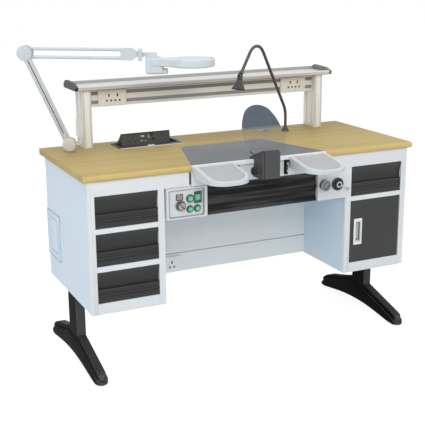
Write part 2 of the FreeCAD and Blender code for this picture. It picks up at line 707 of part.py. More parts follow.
def armrests():
    # a wedge: its underside is level and its top slopes down from the plate's lip
    x0, x1 = armrest_gap, armrest_gap + armrest_width
    y0 = armrest_y - armrest_length
    top = armrest_top
    hinge = V(0, armrest_y, top)
    corners = (armrest_inner_corner, armrest_outer_corner)
    shell = rounded_plan(x0, x1, y0, armrest_y, *corners, top - armrest_depth)
    shell = shell.extrude(V(0, 0, armrest_depth + 1))
    above = box(x0 - 5, x1 + 5, y0 - 20, armrest_y + 20, top, top + 60)
    above.rotate(hinge, X_AXIS, armrest_slope)
    shell = shell.cut(above)
    rim = edges_where(shell, lambda b: b.ZMax > top - armrest_depth + 4 and b.YMin < armrest_y - 1
                      and not (b.ZLength > 5 and b.XLength < 0.1 and b.YLength < 0.1))
    shell = shell.makeFillet(4.0, rim)
    sides = (x0 + pad_inset, x1 - pad_inset, y0 + pad_inset - 2, armrest_y - 12)
    pad = rounded_plan(*sides, corners[0] - pad_inset, corners[1] - pad_inset, top - pad_thickness)
    pocket = pad.extrude(V(0, 0, pad_thickness + 5))
    pad = pad.extrude(V(0, 0, pad_thickness + 1.5))
    for shape in (pocket, pad):
        shape.rotate(hinge, X_AXIS, armrest_slope)
    nodes["armrest_shells"] = both_sides([shell.cut(pocket)])
    nodes["armrest_pads"] = both_sides([pad])
    arm_x = armrest_gap - 9
    bar = box(arm_x - 9, arm_x, apron_y - 16, apron_y, rail_z + 8, -lip_depth - 1)
    knob = box(arm_x, armrest_gap, apron_y - 14, apron_y - 2, -30, -lip_depth - 2)
    block = box(x0 + 12, x1 - 12, armrest_y, apron_y, -40, -lip_depth - 3)
    strip = box(apron_half, rail_end + 5, front_y - 1, front_y, -72, under_z - 3)
    nodes["armrest_brackets"] = both_sides([bar, knob, block, strip])


def clamp_knob():
    x = -scoop_half - leaf_gap
    y, z = scoop_front + 25, -34.0
    shaft = rod((x + leaf_gap + scoop_wall, y, z), X_AXIS * -1, 4, 20)
    hub = rod((x, y, z), X_AXIS * -1, 14, 6)
    grip = rod((x - 6, y, z), X_AXIS * -1, 19, 22)
    for step in range(8):
        turn = math.radians(step * 45)
        groove = rod((x - 5, y + 20 * math.cos(turn), z + 20 * math.sin(turn)), X_AXIS * -1, 4, 24)
        grip = grip.cut(groove)
    nodes["mouth_clamp_knob"] = [fused(shaft, hub, grip)]
    bore = rod((x + 20, y, z), X_AXIS * -1, 4 + pin_clearance, 40)
    nodes["suction_mouth"][0] = nodes["suction_mouth"][0].cut(bore)


# ---- shield ----
shield_pivot_y = scoop_front + 19
shield_pivot_z = 30.0
shield_thickness = 4.0
shield_shoulder = 46.0


def shield():
    # drawn upright in its own plane over the pivot, then leaned back
    half = shield_width / 2
    y0 = shield_pivot_y - shield_thickness / 2
    z = shield_pivot_z
    tab = 26.0
    foot = 14.0
    brow = shield_height - 20
    rise = brow - shield_shoulder

    def at(x, height):
        return (x, y0, z + height)

    steps = [at(tab, -4), at(tab, foot), at(half - 10, foot + 8), at(half, shield_shoulder)]
    steps += [(at(half * 0.91, shield_shoulder + rise * 0.62), at(half * 0.6, brow))]
    steps += [(at(0, shield_height), at(-half * 0.6, brow))]
    steps += [(at(-half * 0.91, shield_shoulder + rise * 0.62), at(-half, shield_shoulder))]
    steps += [at(-half + 10, foot + 8), at(-tab, foot), at(-tab, -4)]
    pane = outline(at(-tab, -4), steps).extrude(V(0, shield_thickness, 0))
    rail = rod((-28, shield_pivot_y, z), X_AXIS, 6, 56)
    pane = pane.cut(rod((-28.2, shield_pivot_y, z), X_AXIS, 6.05, 56.4))
    pin = rod((-34, shield_pivot_y, z), X_AXIS, 3, 68)
    clip = fused(rail, pin)
    pivot = V(0, shield_pivot_y, z)
    for shape in (pane, clip):
        shape.rotate(pivot, X_AXIS, -shield_lean)
    nodes["shield"] = [pane]
    nodes["shield_clip"] = [clip]
    bore = rod((-scoop_half - 1, shield_pivot_y, z), X_AXIS, 3 + pin_clearance, 2 * scoop_half + 2)
    for side in (0, 1):
        nodes["suction_mouth"][side] = nodes["suction_mouth"][side].cut(bore)


# ---- pop-up sockets ----
hinge_y = popup_y1 - 11.0
hinge_z = -3.0
lid_length = 67.0
face_back = 26.4
face_drop = 46.0
popup_box_x0 = popup_x0 + 25.0
popup_box_x1 = popup_box_x0 + 212.0


def popup():
    z0 = -well_depth
    x0, x1 = popup_x0 + well_rim, popup_x1 - well_rim
    y0, y1 = popup_y0 + 2, popup_y1 - 4
    tray = [box(x0, x1, y0, y1, z0, z0 + 2), box(x0, x0 + 2, y0, y1, z0 + 2, 0)]
    tray += [box(x1 - 2, x1, y0, y1, z0 + 2, 0), box(x0 + 2, x1 - 2, y0, y0 + 2, z0 + 2, 0)]
    tray += [box(x0 + 2, x1 - 2, y1 - 2, y1, z0 + 2, 0)]
    ear_x = popup_box_x1 + leaf_gap
    tray += [box(ear_x, ear_x + 3, y1 - 40, y1 - 2, z0 + 2, 0)]
    bore = rod((x0 - 1, hinge_y, hinge_z), X_AXIS, 2 + pin_clearance, popup_width)
    tray = [wall.cut(bore) for wall in tray]
    front = hinge_y - lid_length
    ledge = front - 3
    strips = [box(popup_x0, popup_x1, popup_y0, ledge, 0, 3), box(popup_x0, popup_x1, y1 - 2, popup_y1, 0, 3)]
    strips += [box(popup_x0, x0 + 2, ledge, y1 - 2, 0, 3), box(x1 - 2, popup_x1, ledge, y1 - 2, 0, 3)]
    nodes["popup_frame"] = tray + strips
    turn = math.radians(popup_angle)
    pivot = V(0, hinge_y, hinge_z)
    # the block is drawn shut, with its lid level, then opened by the hinge angle
    toe_y, toe_z = front + face_back, 2 - face_drop
    section = [(hinge_y - 1, 2), (front, 2), (toe_y, toe_z), (hinge_y - 12, -30), (hinge_y - 1, -12)]
    block = across(section, popup_box_x0, popup_box_x1)
    lid = box(popup_box_x0, popup_box_x1, front - 1.5, hinge_y - 1, 2, 4.5)
    block = block.fuse(lid)
    slope = math.atan2(face_drop, face_back)
    normal = V(0, -math.sin(slope), -math.cos(slope))
    middle = V(0, front + face_back / 2, 2 - face_drop / 2)
    for x in (popup_box_x0 + 47, popup_box_x0 + 178):
        for dx, shift in ((0, 9), (-9, -6), (9, -6)):
            along = V(0, -math.cos(slope), math.sin(slope)) * shift
            centre = V(x + dx, 0, 0) + middle + along
            block = block.cut(Part.makeCylinder(2.4, 8, centre + normal * 2, normal * -1))
    pin = rod((x0 + 0.5, hinge_y, hinge_z), X_AXIS, 2, ear_x + 2.5 - x0)
    block = block.fuse(pin)
    block.rotate(pivot, X_AXIS, -math.degrees(turn))
    nodes["popup_box"] = [block.removeSplitter()]
    latch_x = popup_x0 + 117
    latch = box(latch_x, latch_x + 30, popup_y0 + 0.5, popup_y0 + 5.5, 3 + slide_clearance, 8)
    nodes["popup_latch"] = [latch]


def cable_grommet():
    ring = rod((grommet_x, grommet_y, 0), Z_AXIS, 27, 3)
    sleeve = rod((grommet_x, grommet_y, -30), Z_AXIS, grommet_radius - pin_clearance, 30)
    body = ring.fuse(sleeve)
    body = body.cut(rod((grommet_x, grommet_y, -31), Z_AXIS, 21.5, 31.5))
    body = body.cut(box(grommet_x - 15, grommet_x + 15, grommet_y - 6, grommet_y + 6, -1, 4))
    nodes["cable_grommet"] = [body.removeSplitter()]


# ---- gooseneck lamp ----
goose_x = bench_width / 2 - 333
goose_y = -117.0
goose_turn = 210.0
neck_radius = 6.0
neck_corners = [(0, 92, 90.0), (235, 425, 64.0)]
neck_end = (353.0, 287.0)


def neck_path():
    # straight runs joined by tangent arcs, in the (reach, height) plane
    points = [(0.0, 14.0)] + [(u, z) for u, z, _ in neck_corners] + [neck_end]
    edges = []
    here = V(points[0][0], 0, points[0][1])
    for index, (u, z, radius) in enumerate(neck_corners, 1):
        corner = V(u, 0, z)
        before = V(points[index - 1][0], 0, points[index - 1][1]) - corner
        after = V(points[index + 1][0], 0, points[index + 1][1]) - corner
        before.normalize()
        after.normalize()
        half = before.getAngle(after) / 2
        tangent = radius / math.tan(half)
        bisector = (before + after).normalize()
        middle = corner + bisector * (radius / math.sin(half) - radius)
        start = corner + before * tangent
        end = corner + after * tangent
        edges.append(Part.LineSegment(here, start).toShape())
        edges.append(Part.Arc(start, middle, end).toShape())
        here = end
    edges.append(Part.LineSegment(here, V(neck_end[0], 0, neck_end[1])).toShape())
    return Part.Wire(edges)


def stand_goose(shape):
    shape.rotate(V(0, 0, 0), Z_AXIS, goose_turn)
    shape.translate(V(goose_x, goose_y, 0))
    return shape


def gooseneck():
    circle = Part.Wire(Part.makeCircle(neck_radius, V(0, 0, 14), Z_AXIS))
    neck = neck_path().makePipeShell([circle], True, False)
    base = fused(rod((0, 0, 0), Z_AXIS, 17, 4), Part.makeCone(15, 8, 16, V(0, 0, 4), Z_AXIS))
    last = V(neck_end[0] - neck_corners[1][0], 0, neck_end[1] - neck_corners[1][1]).normalize()
    tip = V(neck_end[0], 0, neck_end[1])
    fork = Part.makeCylinder(9, 10, tip - last * 8, last)
    eye = tip + last * 12
    tongue = box(eye.x - 5, eye.x + 5, -2.5, 2.5, eye.z - 5, eye.z + 14)
    pin = rod((eye.x, -9, eye.z), Y_AXIS, 2.5, 18)
    nodes["gooseneck_stand"] = [stand_goose(fused(base, neck, fork, tongue, pin))]
    axis = V(0.25, 0, -1).normalize()
    cheeks = []
    for y in (-8.5, 2.5 + slide_clearance):
        width = 6 - slide_clearance
        cheeks.append(rod((eye.x, y, eye.z), Y_AXIS, 8, width))
        cheeks.append(box(eye.x - 6, eye.x + 6, y, y + width, eye.z - 15, eye.z))
    bores = rod((eye.x, -10, eye.z), Y_AXIS, 2.5 + pin_clearance, 20)
    cheeks = [cheek.cut(bores) for cheek in cheeks]
    top = eye + axis * 11
    collar = Part.makeCylinder(11, 9, top, axis)
    shade = Part.makeCone(12, 28, 38, top + axis * 7, axis)
    inside = Part.makeCone(10, 26, 36, top + axis * 9.5, axis)
    head = fused(collar, shade, *cheeks).cut(inside)
    bulb = Part.makeCylinder(7, 14, top + axis * 8, axis)
    head = head.fuse(bulb).removeSplitter()
    nodes["gooseneck_head"] = [stand_goose(head)]
    return eye


# ---- magnifier lamp ----
lamp_x = -bench_width / 2 + 92
lamp_y = -125.0
knuckle_z = 31.0
bar_offset = 9.0
bar_layer = (-14.0, -2.0)
tube_layer = 8.0
tube_radius = 6.5
tube_spread = 16.0
arm_pin = 3.0


def stand_lamp(shape):
    shape.rotate(V(0, 0, 0), Z_AXIS, lamp_swivel)
    shape.translate(V(lamp_x, lamp_y, 0))
    return shape


def disc(x, y0, y1, z, radius):
    return rod((x, y0, z), Y_AXIS, radius, y1 - y0)


elbow_x = -lower_arm_length * math.sin(math.radians(lower_arm_lean))
elbow_z = knuckle_z + lower_arm_length * math.cos(math.radians(lower_arm_lean))
tube_inset = 10.0
fork_x = elbow_x + tube_inset + upper_arm_length
fork_drop = 4.0
head_x = fork_x + 66
head_z = elbow_z - fork_drop - 1.5


def lamp_base():
    ring = rod((0, 0, 0), Z_AXIS, 20, 5)
    post = rod((0, 0, 5), Z_AXIS, 7, 14)
    nodes["magnifier_base"] = [stand_lamp(ring.fuse(post).removeSplitter())]
    hub = rod((0, 0, 5 + leaf_gap), Z_AXIS, 18, 14).cut(rod((0, 0, 0), Z_AXIS, 7 + pin_clearance, 19.5))
    front = disc(0, -18, bar_layer[0] - 0.2, knuckle_z, 26)
    rear = disc(0, bar_layer[1] + 0.2, 14, knuckle_z, 26)
    pins = [disc(s * bar_offset, -16, 0, knuckle_z, arm_pin) for s in (-1, 1)]
    cut_low = box(-40, 40, -40, 40, -10, 5 + leaf_gap)
    clear = rod((0, 0, 0), Z_AXIS, 7 + pin_clearance, 19.5)
    turret = fused(hub, front, rear, *pins).cut(cut_low).cut(clear)
    slot = box(-30, 30, bar_layer[0] - 0.2, bar_layer[1] + 0.2, knuckle_z - 9, 60)
    keep = fused(*[disc(s * bar_offset, -16, 0, knuckle_z, arm_pin) for s in (-1, 1)])
    nodes["magnifier_turret"] = [stand_lamp(fused(turret.cut(slot), keep))]


def lower_bars():
    for name, side in (("a", -1), ("b", 1)):
        x = side * bar_offset
        bar = box(x - 6, x + 6, bar_layer[0], bar_layer[1], knuckle_z, knuckle_z + lower_arm_length)
        ends = [disc(x, bar_layer[0], bar_layer[1], z, 6) for z in (knuckle_z, knuckle_z + lower_arm_length)]
        bar = bar.fuse(ends)
        for z in (knuckle_z, knuckle_z + lower_arm_length):
            bar = bar.cut(disc(x, -20, 5, z, arm_pin + pin_clearance))
        bar.rotate(V(x, 0, knuckle_z), Y_AXIS, -lower_arm_lean)
        nodes["lower_arm_bar_" + name] = [stand_lamp(bar.removeSplitter())]


def elbow_and_tubes():
    ex, ez = elbow_x, elbow_z
    front = disc(ex, -18, bar_layer[0] - 0.2, ez, 29)
    core = disc(ex, bar_layer[1] + 0.2, 1.3, ez, 29)
    back = disc(ex, 14.7, 18, ez, 29)
    pins = [disc(ex + s * bar_offset, -16, 0, ez, arm_pin) for s in (-1, 1)]
    pins += [disc(ex + tube_inset, 0, 16, ez + s * tube_spread, arm_pin) for s in (-1, 1)]
    spacer = disc(ex - 18, -18, 18, ez + 8, 4)
    nodes["arm_elbow"] = [stand_lamp(fused(front, core, back, spacer, *pins))]
    start = ex + tube_inset
    tilt = math.degrees(math.atan2(fork_drop, upper_arm_length))
    run = math.hypot(fork_drop, upper_arm_length)
    for name, side in (("a", 1), ("b", -1)):
        z = ez + side * tube_spread
        tube = rod((start + 4, tube_layer, z), X_AXIS, tube_radius, run - 8)
        eyes = [disc(start + along, tube_layer - 5, tube_layer + 5, z, tube_radius + 1) for along in (0, run)]
        tube = tube.fuse(eyes)
        for along in (0, run):
            tube = tube.cut(disc(start + along, -5, 20, z, arm_pin + pin_clearance))
        tube.rotate(V(start, 0, z), Y_AXIS, tilt)
        nodes["upper_arm_tube_" + name] = [stand_lamp(tube.removeSplitter())]


def fork_and_head():
    middle = elbow_z - fork_drop
    tail = fork_x - 11
    shoulder = fork_x + 33
    nose = head_x - 12
    plate = [(tail, middle - 22), (tail, middle + 22), (shoulder, middle + 24), (nose, middle + 10)]
    plate += [(nose, middle - 10), (shoulder, middle - 24)]
    front = facing(plate, -12.4, 1.2)
    back = box(tail, fork_x + 25, 14.8, 18, middle - 22, middle + 22)
    web = box(fork_x + 10, shoulder - 2, 1.2, 14.8, middle - 22, middle + 22)
    pins = [disc(fork_x, 0, 16, middle + s * tube_spread, arm_pin) for s in (-1, 1)]
    eye = disc(head_x, -6, 2, head_z, 12)
    neck = box(nose - 3, head_x, -6, 1.2, head_z - 8, head_z + 8)
    pivot = disc(head_x, -24, 12, head_z, 4)
    nodes["arm_fork"] = [stand_lamp(fused(front, back, web, eye, neck, pivot, *pins))]
    hub = disc(head_x, -17, -6 - leaf_gap, head_z, 9)
    wing = box(head_x - 7, head_x + 7, -23, -13, head_z - 24, head_z + 24)
    wing = wing.makeFillet(6.0, edges_where(wing, lambda b: b.YLength > 5))
    knob = hub.fuse(wing).cut(disc(head_x, -30, 0, head_z, 4 + pin_clearance))
    nodes["arm_wing_knob"] = [stand_lamp(knob.removeSplitter())]


def paddle_plan(tail_x, ring_x, z):
    # a neck that swells with two hollow curves into the lens ring
    turn = math.radians(125)
    neck = 17.0
    join_x, join_y = ring_x + lamp_ring_radius * math.cos(turn), lamp_ring_radius * math.sin(turn)
    hollow = (join_x - 36, (join_y + neck) / 2 - 3)
    steps = [(tail_x, neck, z), (join_x - 78, neck + 2, z), ((*hollow, z), (join_x, join_y, z))]
    steps += [((ring_x + lamp_ring_radius, 0, z), (join_x, -join_y, z))]
    steps += [((hollow[0], -hollow[1], z), (join_x - 78, -neck - 2, z)), (tail_x, -neck, z)]
    return outline((tail_x, -neck, z), steps)


def lamp_head():
    ring_x, ring_z = head_x + 197, head_z - 29
    case_x = head_x + 18
    eye = disc(head_x, 2 + slide_clearance, 12, head_z, 11)
    stem = box(head_x, case_x + 43, 3, 12, head_z - 9, head_z + 7)
    case = box(case_x, case_x + 54, -12, 24, head_z - 73, head_z - 8)
    case = case.makeFillet(8.0, edges_where(case, lambda b: b.ZMax < head_z - 10 or b.ZLength > 30))
    knob = rod((case_x + 43, 0, head_z - 66), X_AXIS, 8, 36)
    paddle = paddle_plan(case_x + 20, ring_x, ring_z - 15).extrude(V(0, 0, 30))
    rim = edges_where(paddle, lambda b: b.ZLength < 1)
    paddle = paddle.makeFillet(6.0, rim)
    paddle = paddle.cut(rod((ring_x, 0, ring_z - 16), Z_AXIS, lens_radius, 32))
    screw = rod((ring_x + lens_radius + 12, 0, ring_z + 15), Z_AXIS, 5, 3)
    body = fused(eye, stem, case, knob, paddle, screw)
    body = body.cut(disc(head_x, -30, 30, head_z, 4 + pin_clearance))
    nodes["magnifier_head"] = [stand_lamp(body)]
    edge_z, crown = ring_z + 4, 10.0
    bulge = (lens_radius ** 2 + crown ** 2) / (2 * crown)
    dome = Part.makeSphere(bulge, V(ring_x, 0, edge_z + 4 + crown - bulge))
    dome = dome.common(rod((ring_x, 0, edge_z + 4), Z_AXIS, lens_radius + 1, crown + 1))
    lens = fused(rod((ring_x, 0, edge_z), Z_AXIS, lens_radius, 4), dome)
    nodes["magnifier_lens"] = [stand_lamp(lens)]


worktop()
work_plate()
nodes["left_cabinet"] = cabinet(-1, -185, -45)
nodes["right_cabinet"] = cabinet(1, duct_y0, duct_y1)
front_frame()
side_cover()
kneehole_panel()
legs()
gantry_frame()
gantry_shelf()
power_sockets()
service_panels()
pressure_gauge()
air_valve()
control_knob()
power_rocker()
push_buttons()
drawers()
door()
suction_mouth()
suction_duct()
dust_extractor()
armrests()
clamp_knob()
shield()
popup()
cable_grommet()
gooseneck()
lamp_base()
lower_bars()
elbow_and_tubes()
fork_and_head()
lamp_head()

# ---- move the origin to the middle of the whole box, on the floor, and write one file per node ----
whole = FreeCAD.BoundBox()
for solids in nodes.values():
    for solid in solids:
        whole.add(solid.BoundBox)
shift = V(-whole.Center.x, -whole.Center.y, -whole.ZMin)
print("origin shift", shift, "box", whole.XLength, whole.YLength, whole.ZLength, "nodes", len(nodes))

os.makedirs("parts", exist_ok=True)
for name, solids in nodes.items():
    pieces = [solid.translated(shift) for solid in solids]
    piece = pieces[0] if len(pieces) == 1 else Part.makeCompound(pieces)
    piece.exportStep("parts/%s.step" % name)
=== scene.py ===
import bpy
import bmesh
from math import copysign, cos, pi, radians, sin, tan, tau
from mathutils import Matrix, Vector


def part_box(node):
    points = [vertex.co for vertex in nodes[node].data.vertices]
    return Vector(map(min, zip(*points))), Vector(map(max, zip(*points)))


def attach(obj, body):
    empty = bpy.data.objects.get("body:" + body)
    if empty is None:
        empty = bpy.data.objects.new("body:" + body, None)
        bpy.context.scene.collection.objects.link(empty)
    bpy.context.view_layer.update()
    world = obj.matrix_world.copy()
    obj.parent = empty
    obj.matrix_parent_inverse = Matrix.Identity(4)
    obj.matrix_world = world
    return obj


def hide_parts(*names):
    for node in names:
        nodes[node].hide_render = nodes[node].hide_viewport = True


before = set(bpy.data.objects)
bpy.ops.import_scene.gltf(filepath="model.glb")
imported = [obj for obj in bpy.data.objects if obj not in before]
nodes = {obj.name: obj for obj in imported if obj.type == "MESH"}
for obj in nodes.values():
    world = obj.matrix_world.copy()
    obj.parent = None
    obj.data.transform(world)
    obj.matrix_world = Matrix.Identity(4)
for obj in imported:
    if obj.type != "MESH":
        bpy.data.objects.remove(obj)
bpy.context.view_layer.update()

# The viewpoint of a seated visitor, a little to the left of the bench and above its top. Places are told in
# millimetres from the middle of the wooden top's rear edge, at the top's upper face: x to the worker's
# right, y away from the worker and z up.
top_low, top_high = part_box("worktop")
REAR_EDGE = Vector(((top_low[0] + top_high[0]) / 2, top_high[1], top_high[2]))


def at(x, y, z):
    return REAR_EDGE + Vector((x, y, z)) / 1000


def new_object(name, data):
    made = bpy.data.objects.new(name, data)
    bpy.context.scene.collection.objects.link(made)
    return made


yaw, pitch, roll = (radians(angle) for angle in (25.126, 15.345, -0.464))
focal_pixels = 930.9
frame_pixels = 425
forward = Vector((sin(yaw) * cos(pitch), cos(yaw) * cos(pitch), -sin(pitch)))
level = Vector((cos(yaw), -sin(yaw), 0))
rise = level.cross(forward)
right = level * cos(roll) + rise * sin(roll)
upward = rise * cos(roll) - level * sin(roll)
camera = bpy.data.cameras.new("camera")
camera.sensor_width = 36
camera.lens = focal_pixels * camera.sensor_width / frame_pixels
viewer = new_object("camera", camera)
facing = Matrix((right, upward, -forward)).transposed().to_4x4()
viewer.matrix_world = Matrix.Translation(at(-1632.2, -3623.8, 735.5)) @ facing
bpy.context.scene.camera = viewer
bpy.context.scene.view_settings.view_transform = "Standard"


# The studio: a white sheet on the floor and an even white room, with a broad soft lamp above the worker's
# left shoulder, weaker ones at both sides, behind and overhead.
def shader_node(tree, kind, settings=(), **inputs):
    made = tree.nodes.new(kind)
    for key, value in dict(settings).items():
        setattr(made, key, value)
    for key, value in inputs.items():
        name = key.replace("_", " ")
        socket = made.inputs[int(key[1:])] if key[0] == "n" and key[1:].isdigit() else made.inputs[name]
        if isinstance(value, bpy.types.NodeSocket):
            tree.links.new(value, socket)
        else:
            socket.default_value = value
    return made


def maths(tree, operation, one, other):
    return shader_node(tree, "ShaderNodeMath", {"operation": operation}, n0=one, n1=other).outputs[0]


def finds_white(tree):
    # 1 for the rays that show plain white: the viewer's own, and those through glass or off a gloss
    path = shader_node(tree, "ShaderNodeLightPath").outputs
    straight = maths(tree, "MAXIMUM", path["Is Camera Ray"], path["Is Transmission Ray"])
    return maths(tree, "MAXIMUM", straight, path["Is Glossy Ray"])


def mixed_output(tree, kind, one, other):
    mixed = shader_node(tree, "ShaderNodeMixShader", n0=finds_white(tree), n1=one.outputs[0],
                        n2=other.outputs[0])
    shader_node(tree, kind, Surface=mixed.outputs[0])


world = bpy.data.worlds.new("white_room")
bpy.context.scene.world = world
world.use_nodes = True
room = world.node_tree
room.nodes.clear()
air = shader_node(room, "ShaderNodeBackground", Color=(0.94, 0.97, 1.0, 1), Strength=0.50)
white = shader_node(room, "ShaderNodeBackground", Color=(1, 1, 1, 1), Strength=1.0)
mixed_output(room, "ShaderNodeOutputWorld", air, white)
middle = at(0, -300, -250)
for name, place, width, watts, colour in (
        ("front_lamp", at(-1300, -3600, 2300), 2.4, 62, (1.0, 0.985, 0.96)),
        ("right_lamp", at(3000, -2200, 1700), 2.2, 18, (0.95, 0.98, 1.0)),
        ("left_lamp", at(-3100, -900, 900), 2.4, 17, (0.88, 0.95, 1.0)),
        ("top_lamp", at(-200, 500, 2900), 2.6, 22, (1.0, 0.99, 0.96)),
        ("back_lamp", at(500, 3200, -370), 0.8, 16, (0.97, 0.98, 1.0))):
    lamp = bpy.data.lights.new(name, "AREA")
    lamp.shape, lamp.size, lamp.energy, lamp.color = "SQUARE", width, watts, colour
    holder = new_object(name, lamp)
    holder.location = place
    holder.rotation_euler = (middle - place).to_track_quat("-Z", "Y").to_euler()
reach = 14.0
floor_mesh = bpy.data.meshes.new("floor")
floor_mesh.from_pydata([(x * reach, y * reach, 0) for x, y in ((-1, -1), (1, -1), (1, 1), (-1, 1))], [],
                       [(0, 1, 2, 3)])
sheet = bpy.data.materials.new("floor_sheet")
sheet.use_nodes = True
tree = sheet.node_tree
tree.nodes.clear()
matte = shader_node(tree, "ShaderNodeBsdfDiffuse", Color=(0.80, 0.80, 0.80, 1))
bright = shader_node(tree, "ShaderNodeEmission", Color=(1, 1, 1, 1), Strength=0.90)
dim = shader_node(tree, "ShaderNodeBsdfDiffuse", Color=(0.24, 0.24, 0.24, 1))
lit = shader_node(tree, "ShaderNodeAddShader", n0=bright.outputs[0], n1=dim.outputs[0])
mixed_output(tree, "ShaderNodeOutputMaterial", matte, lit)
floor_mesh.materials.append(sheet)
floor = new_object("floor", floor_mesh)


# The wooden top is a veneered board with its grain along the bench, a rounded front edge and a lacquer
# that is satin and a little uneven. Its back is painted darker as the shelf's shade, and its rounded front
# edge is painted lighter as a highlight.
def new_material(name):
    material = bpy.data.materials.new(name)
    material.use_nodes = True
    material.node_tree.nodes.clear()
    return material, material.node_tree


def surface(tree, colour, roughness, height=None, bump=0.0, depth=0.0003, **inputs):
    if height:
        relief = shader_node(tree, "ShaderNodeBump", Height=height, Strength=bump, Distance=depth)
        inputs["Normal"] = relief.outputs[0]
    skin = shader_node(tree, "ShaderNodeBsdfPrincipled", Base_Color=colour, Roughness=roughness, **inputs)
    shader_node(tree, "ShaderNodeOutputMaterial", Surface=skin.outputs[0])


def object_place(tree):
    return shader_node(tree, "ShaderNodeTexCoord").outputs["Object"]


def axis_place(tree, axis):
    return shader_node(tree, "ShaderNodeSeparateXYZ", n0=object_place(tree)).outputs[axis]


def stretched(tree, place, scale):
    return shader_node(tree, "ShaderNodeMapping", Vector=place, Scale=scale).outputs[0]


def noise(tree, scale, place=None, detail=2.0, roughness=0.5, distortion=0.0):
    made = shader_node(tree, "ShaderNodeTexNoise", Scale=scale, Detail=detail, Roughness=roughness,
                       Distortion=distortion)
    if place:
        tree.links.new(place, made.inputs["Vector"])
    return made.outputs[0]


def span(tree, value, low, high, start, end):
    # start where the value is low, end where it is high, and even between them
    return shader_node(tree, "ShaderNodeMapRange", n0=value, n1=low, n2=high, n3=start, n4=end).outputs[0]


def blend(tree, share, one, other, way="MIX"):
    return shader_node(tree, "ShaderNodeMix", {"data_type": "RGBA", "blend_type": way}, n0=share, n6=one,
                       n7=other).outputs[2]


def ramp(tree, source, stops):
    # a colour ramp from a grey value: stops are (place, colour)
    made = shader_node(tree, "ShaderNodeValToRGB", n0=source)
    line = made.color_ramp
    while len(line.elements) < len(stops):
        line.elements.new(0.5)
    for element, (place, colour) in zip(line.elements, stops):
        element.position = place
        element.color = (*colour, 1)
    return made.outputs[0]


def coat(material, *names):
    for name in names:
        for holder in nodes[name].material_slots:
            holder.material = material


def round_edges(thing, width, segments=2):
    bevel = thing.modifiers.new("edge", "BEVEL")
    bevel.width = width / 1000
    bevel.segments = segments
    bevel.limit_method = "ANGLE"
    bevel.angle_limit = radians(35)
    bevel.use_clamp_overlap = True
    bevel.harden_normals = True


def soften(width, *names):
    # the small round that every real edge has
    for name in names:
        node = nodes[name]
        normals = node.data.attributes.get("custom_normal")
        if normals:
            node.data.attributes.remove(normals)
        node.data.shade_smooth()
        joined = node.modifiers.new("joined", "WELD")
        joined.merge_threshold = 0.00001
        round_edges(node, width)
        node.modifiers.new("flat_faces", "WEIGHTED_NORMAL")


def dress(material, width, *names):
    coat(material, *names)
    soften(width, *names)


lacquer, tree = new_material("lacquered_wood")
place = object_place(tree)
figure = noise(tree, 1.0, stretched(tree, place, (1.4, 26.0, 26.0)), 4.0, 0.6, 0.4)
fibre = noise(tree, 1.0, stretched(tree, place, (9.0, 420.0, 420.0)), 3.0, 0.7)
veneer = ramp(tree, figure, [(0.32, (0.505, 0.370, 0.128)), (0.50, (0.560, 0.420, 0.158)),
                             (0.68, (0.612, 0.468, 0.190))])
fine = ramp(tree, fibre, [(0.30, (0.90, 0.88, 0.84)), (0.62, (1.03, 1.03, 1.03))])
wood = blend(tree, 1.0, veneer, fine, "MULTIPLY")
depth = axis_place(tree, "Y")
front_line = top_low[1]
# painted shade towards the back and a painted highlight along the rounded front edge
shade = span(tree, depth, REAR_EDGE.y - 0.42, REAR_EDGE.y - 0.04, 1.0, 0.80)
front_edge_highlight = span(tree, depth, front_line + 0.004, front_line + 0.012, 1.22, 1.0)
soil_and_painted_light = blend(tree, 1.0, wood, maths(tree, "MULTIPLY", shade, front_edge_highlight), "MULTIPLY")
surface(tree, soil_and_painted_light, span(tree, figure, 0.3, 0.7, 0.46, 0.58), fibre, 0.06, 0.0004, Specular_IOR_Level=0.22)
dress(lacquer, 0.8, "worktop")


# The steel work plate is rolled sheet with a fine brushed grain along the bench, folded down at its edges
# and let flush into the top. Its front edge runs on into a folded lip, painted near white and not metallic
# as a highlight.
def new_group(name, **inputs):
    # a shader group that takes the named sockets and gives a colour, a roughness and a height
    group = bpy.data.node_groups.new(name, "ShaderNodeTree")
    sockets = [(label, "INPUT", kind) for label, kind in inputs.items()]
    sockets += [("Colour", "OUTPUT", "Color"), ("Roughness", "OUTPUT", "Float"), ("Height", "OUTPUT", "Float")]
    for label, way, kind in sockets:
        group.interface.new_socket(name=label, in_out=way, socket_type="NodeSocket" + kind)
    return group, group.nodes.new("NodeGroupInput").outputs


def give(tree, colour, height, rough, patch, share):
    # what a group gives: a colour, a height and a roughness that wanders with a patchy noise
    haze = maths(tree, "ADD", maths(tree, "MULTIPLY", patch, share), rough)
    shader_node(tree, "NodeGroupOutput", Colour=colour, Roughness=haze, Height=height)


def use_group(tree, group, **inputs):
    return shader_node(tree, "ShaderNodeGroup", {"node_tree": group}, **inputs).outputs


def grouped(name, group, inputs, bump, depth, **more):
    # a material whose colour, roughness and relief come from a group
    material, tree = new_material(name)
    made = use_group(tree, group, **inputs)
    surface(tree, made["Colour"], made["Roughness"], made["Height"], bump, depth, **more)
    return material


brushed, given = new_group("brushed_grain", Metal="Color", Stretch="Vector", Rough="Float", Spread="Float")
place = object_place(brushed)
hair = noise(brushed, 1.0, stretched(brushed, place, given["Stretch"]), 5.0, 0.75)
cloud = noise(brushed, 6.0, place, 3.0)
tone = ramp(brushed, hair, [(0.25, (0.93, 0.93, 0.93)), (0.75, (1.04, 1.04, 1.04))])
metal = blend(brushed, 1.0, given["Metal"], tone, "MULTIPLY")
give(brushed, metal, hair, given["Rough"], cloud, given["Spread"])


def brushed_metal(name, colour, stretch, rough, spread, metallic, bump):
    return grouped(name, brushed, dict(Metal=(*colour, 1), Stretch=stretch, Rough=rough, Spread=spread), bump,
                   0.0002, Metallic=metallic)


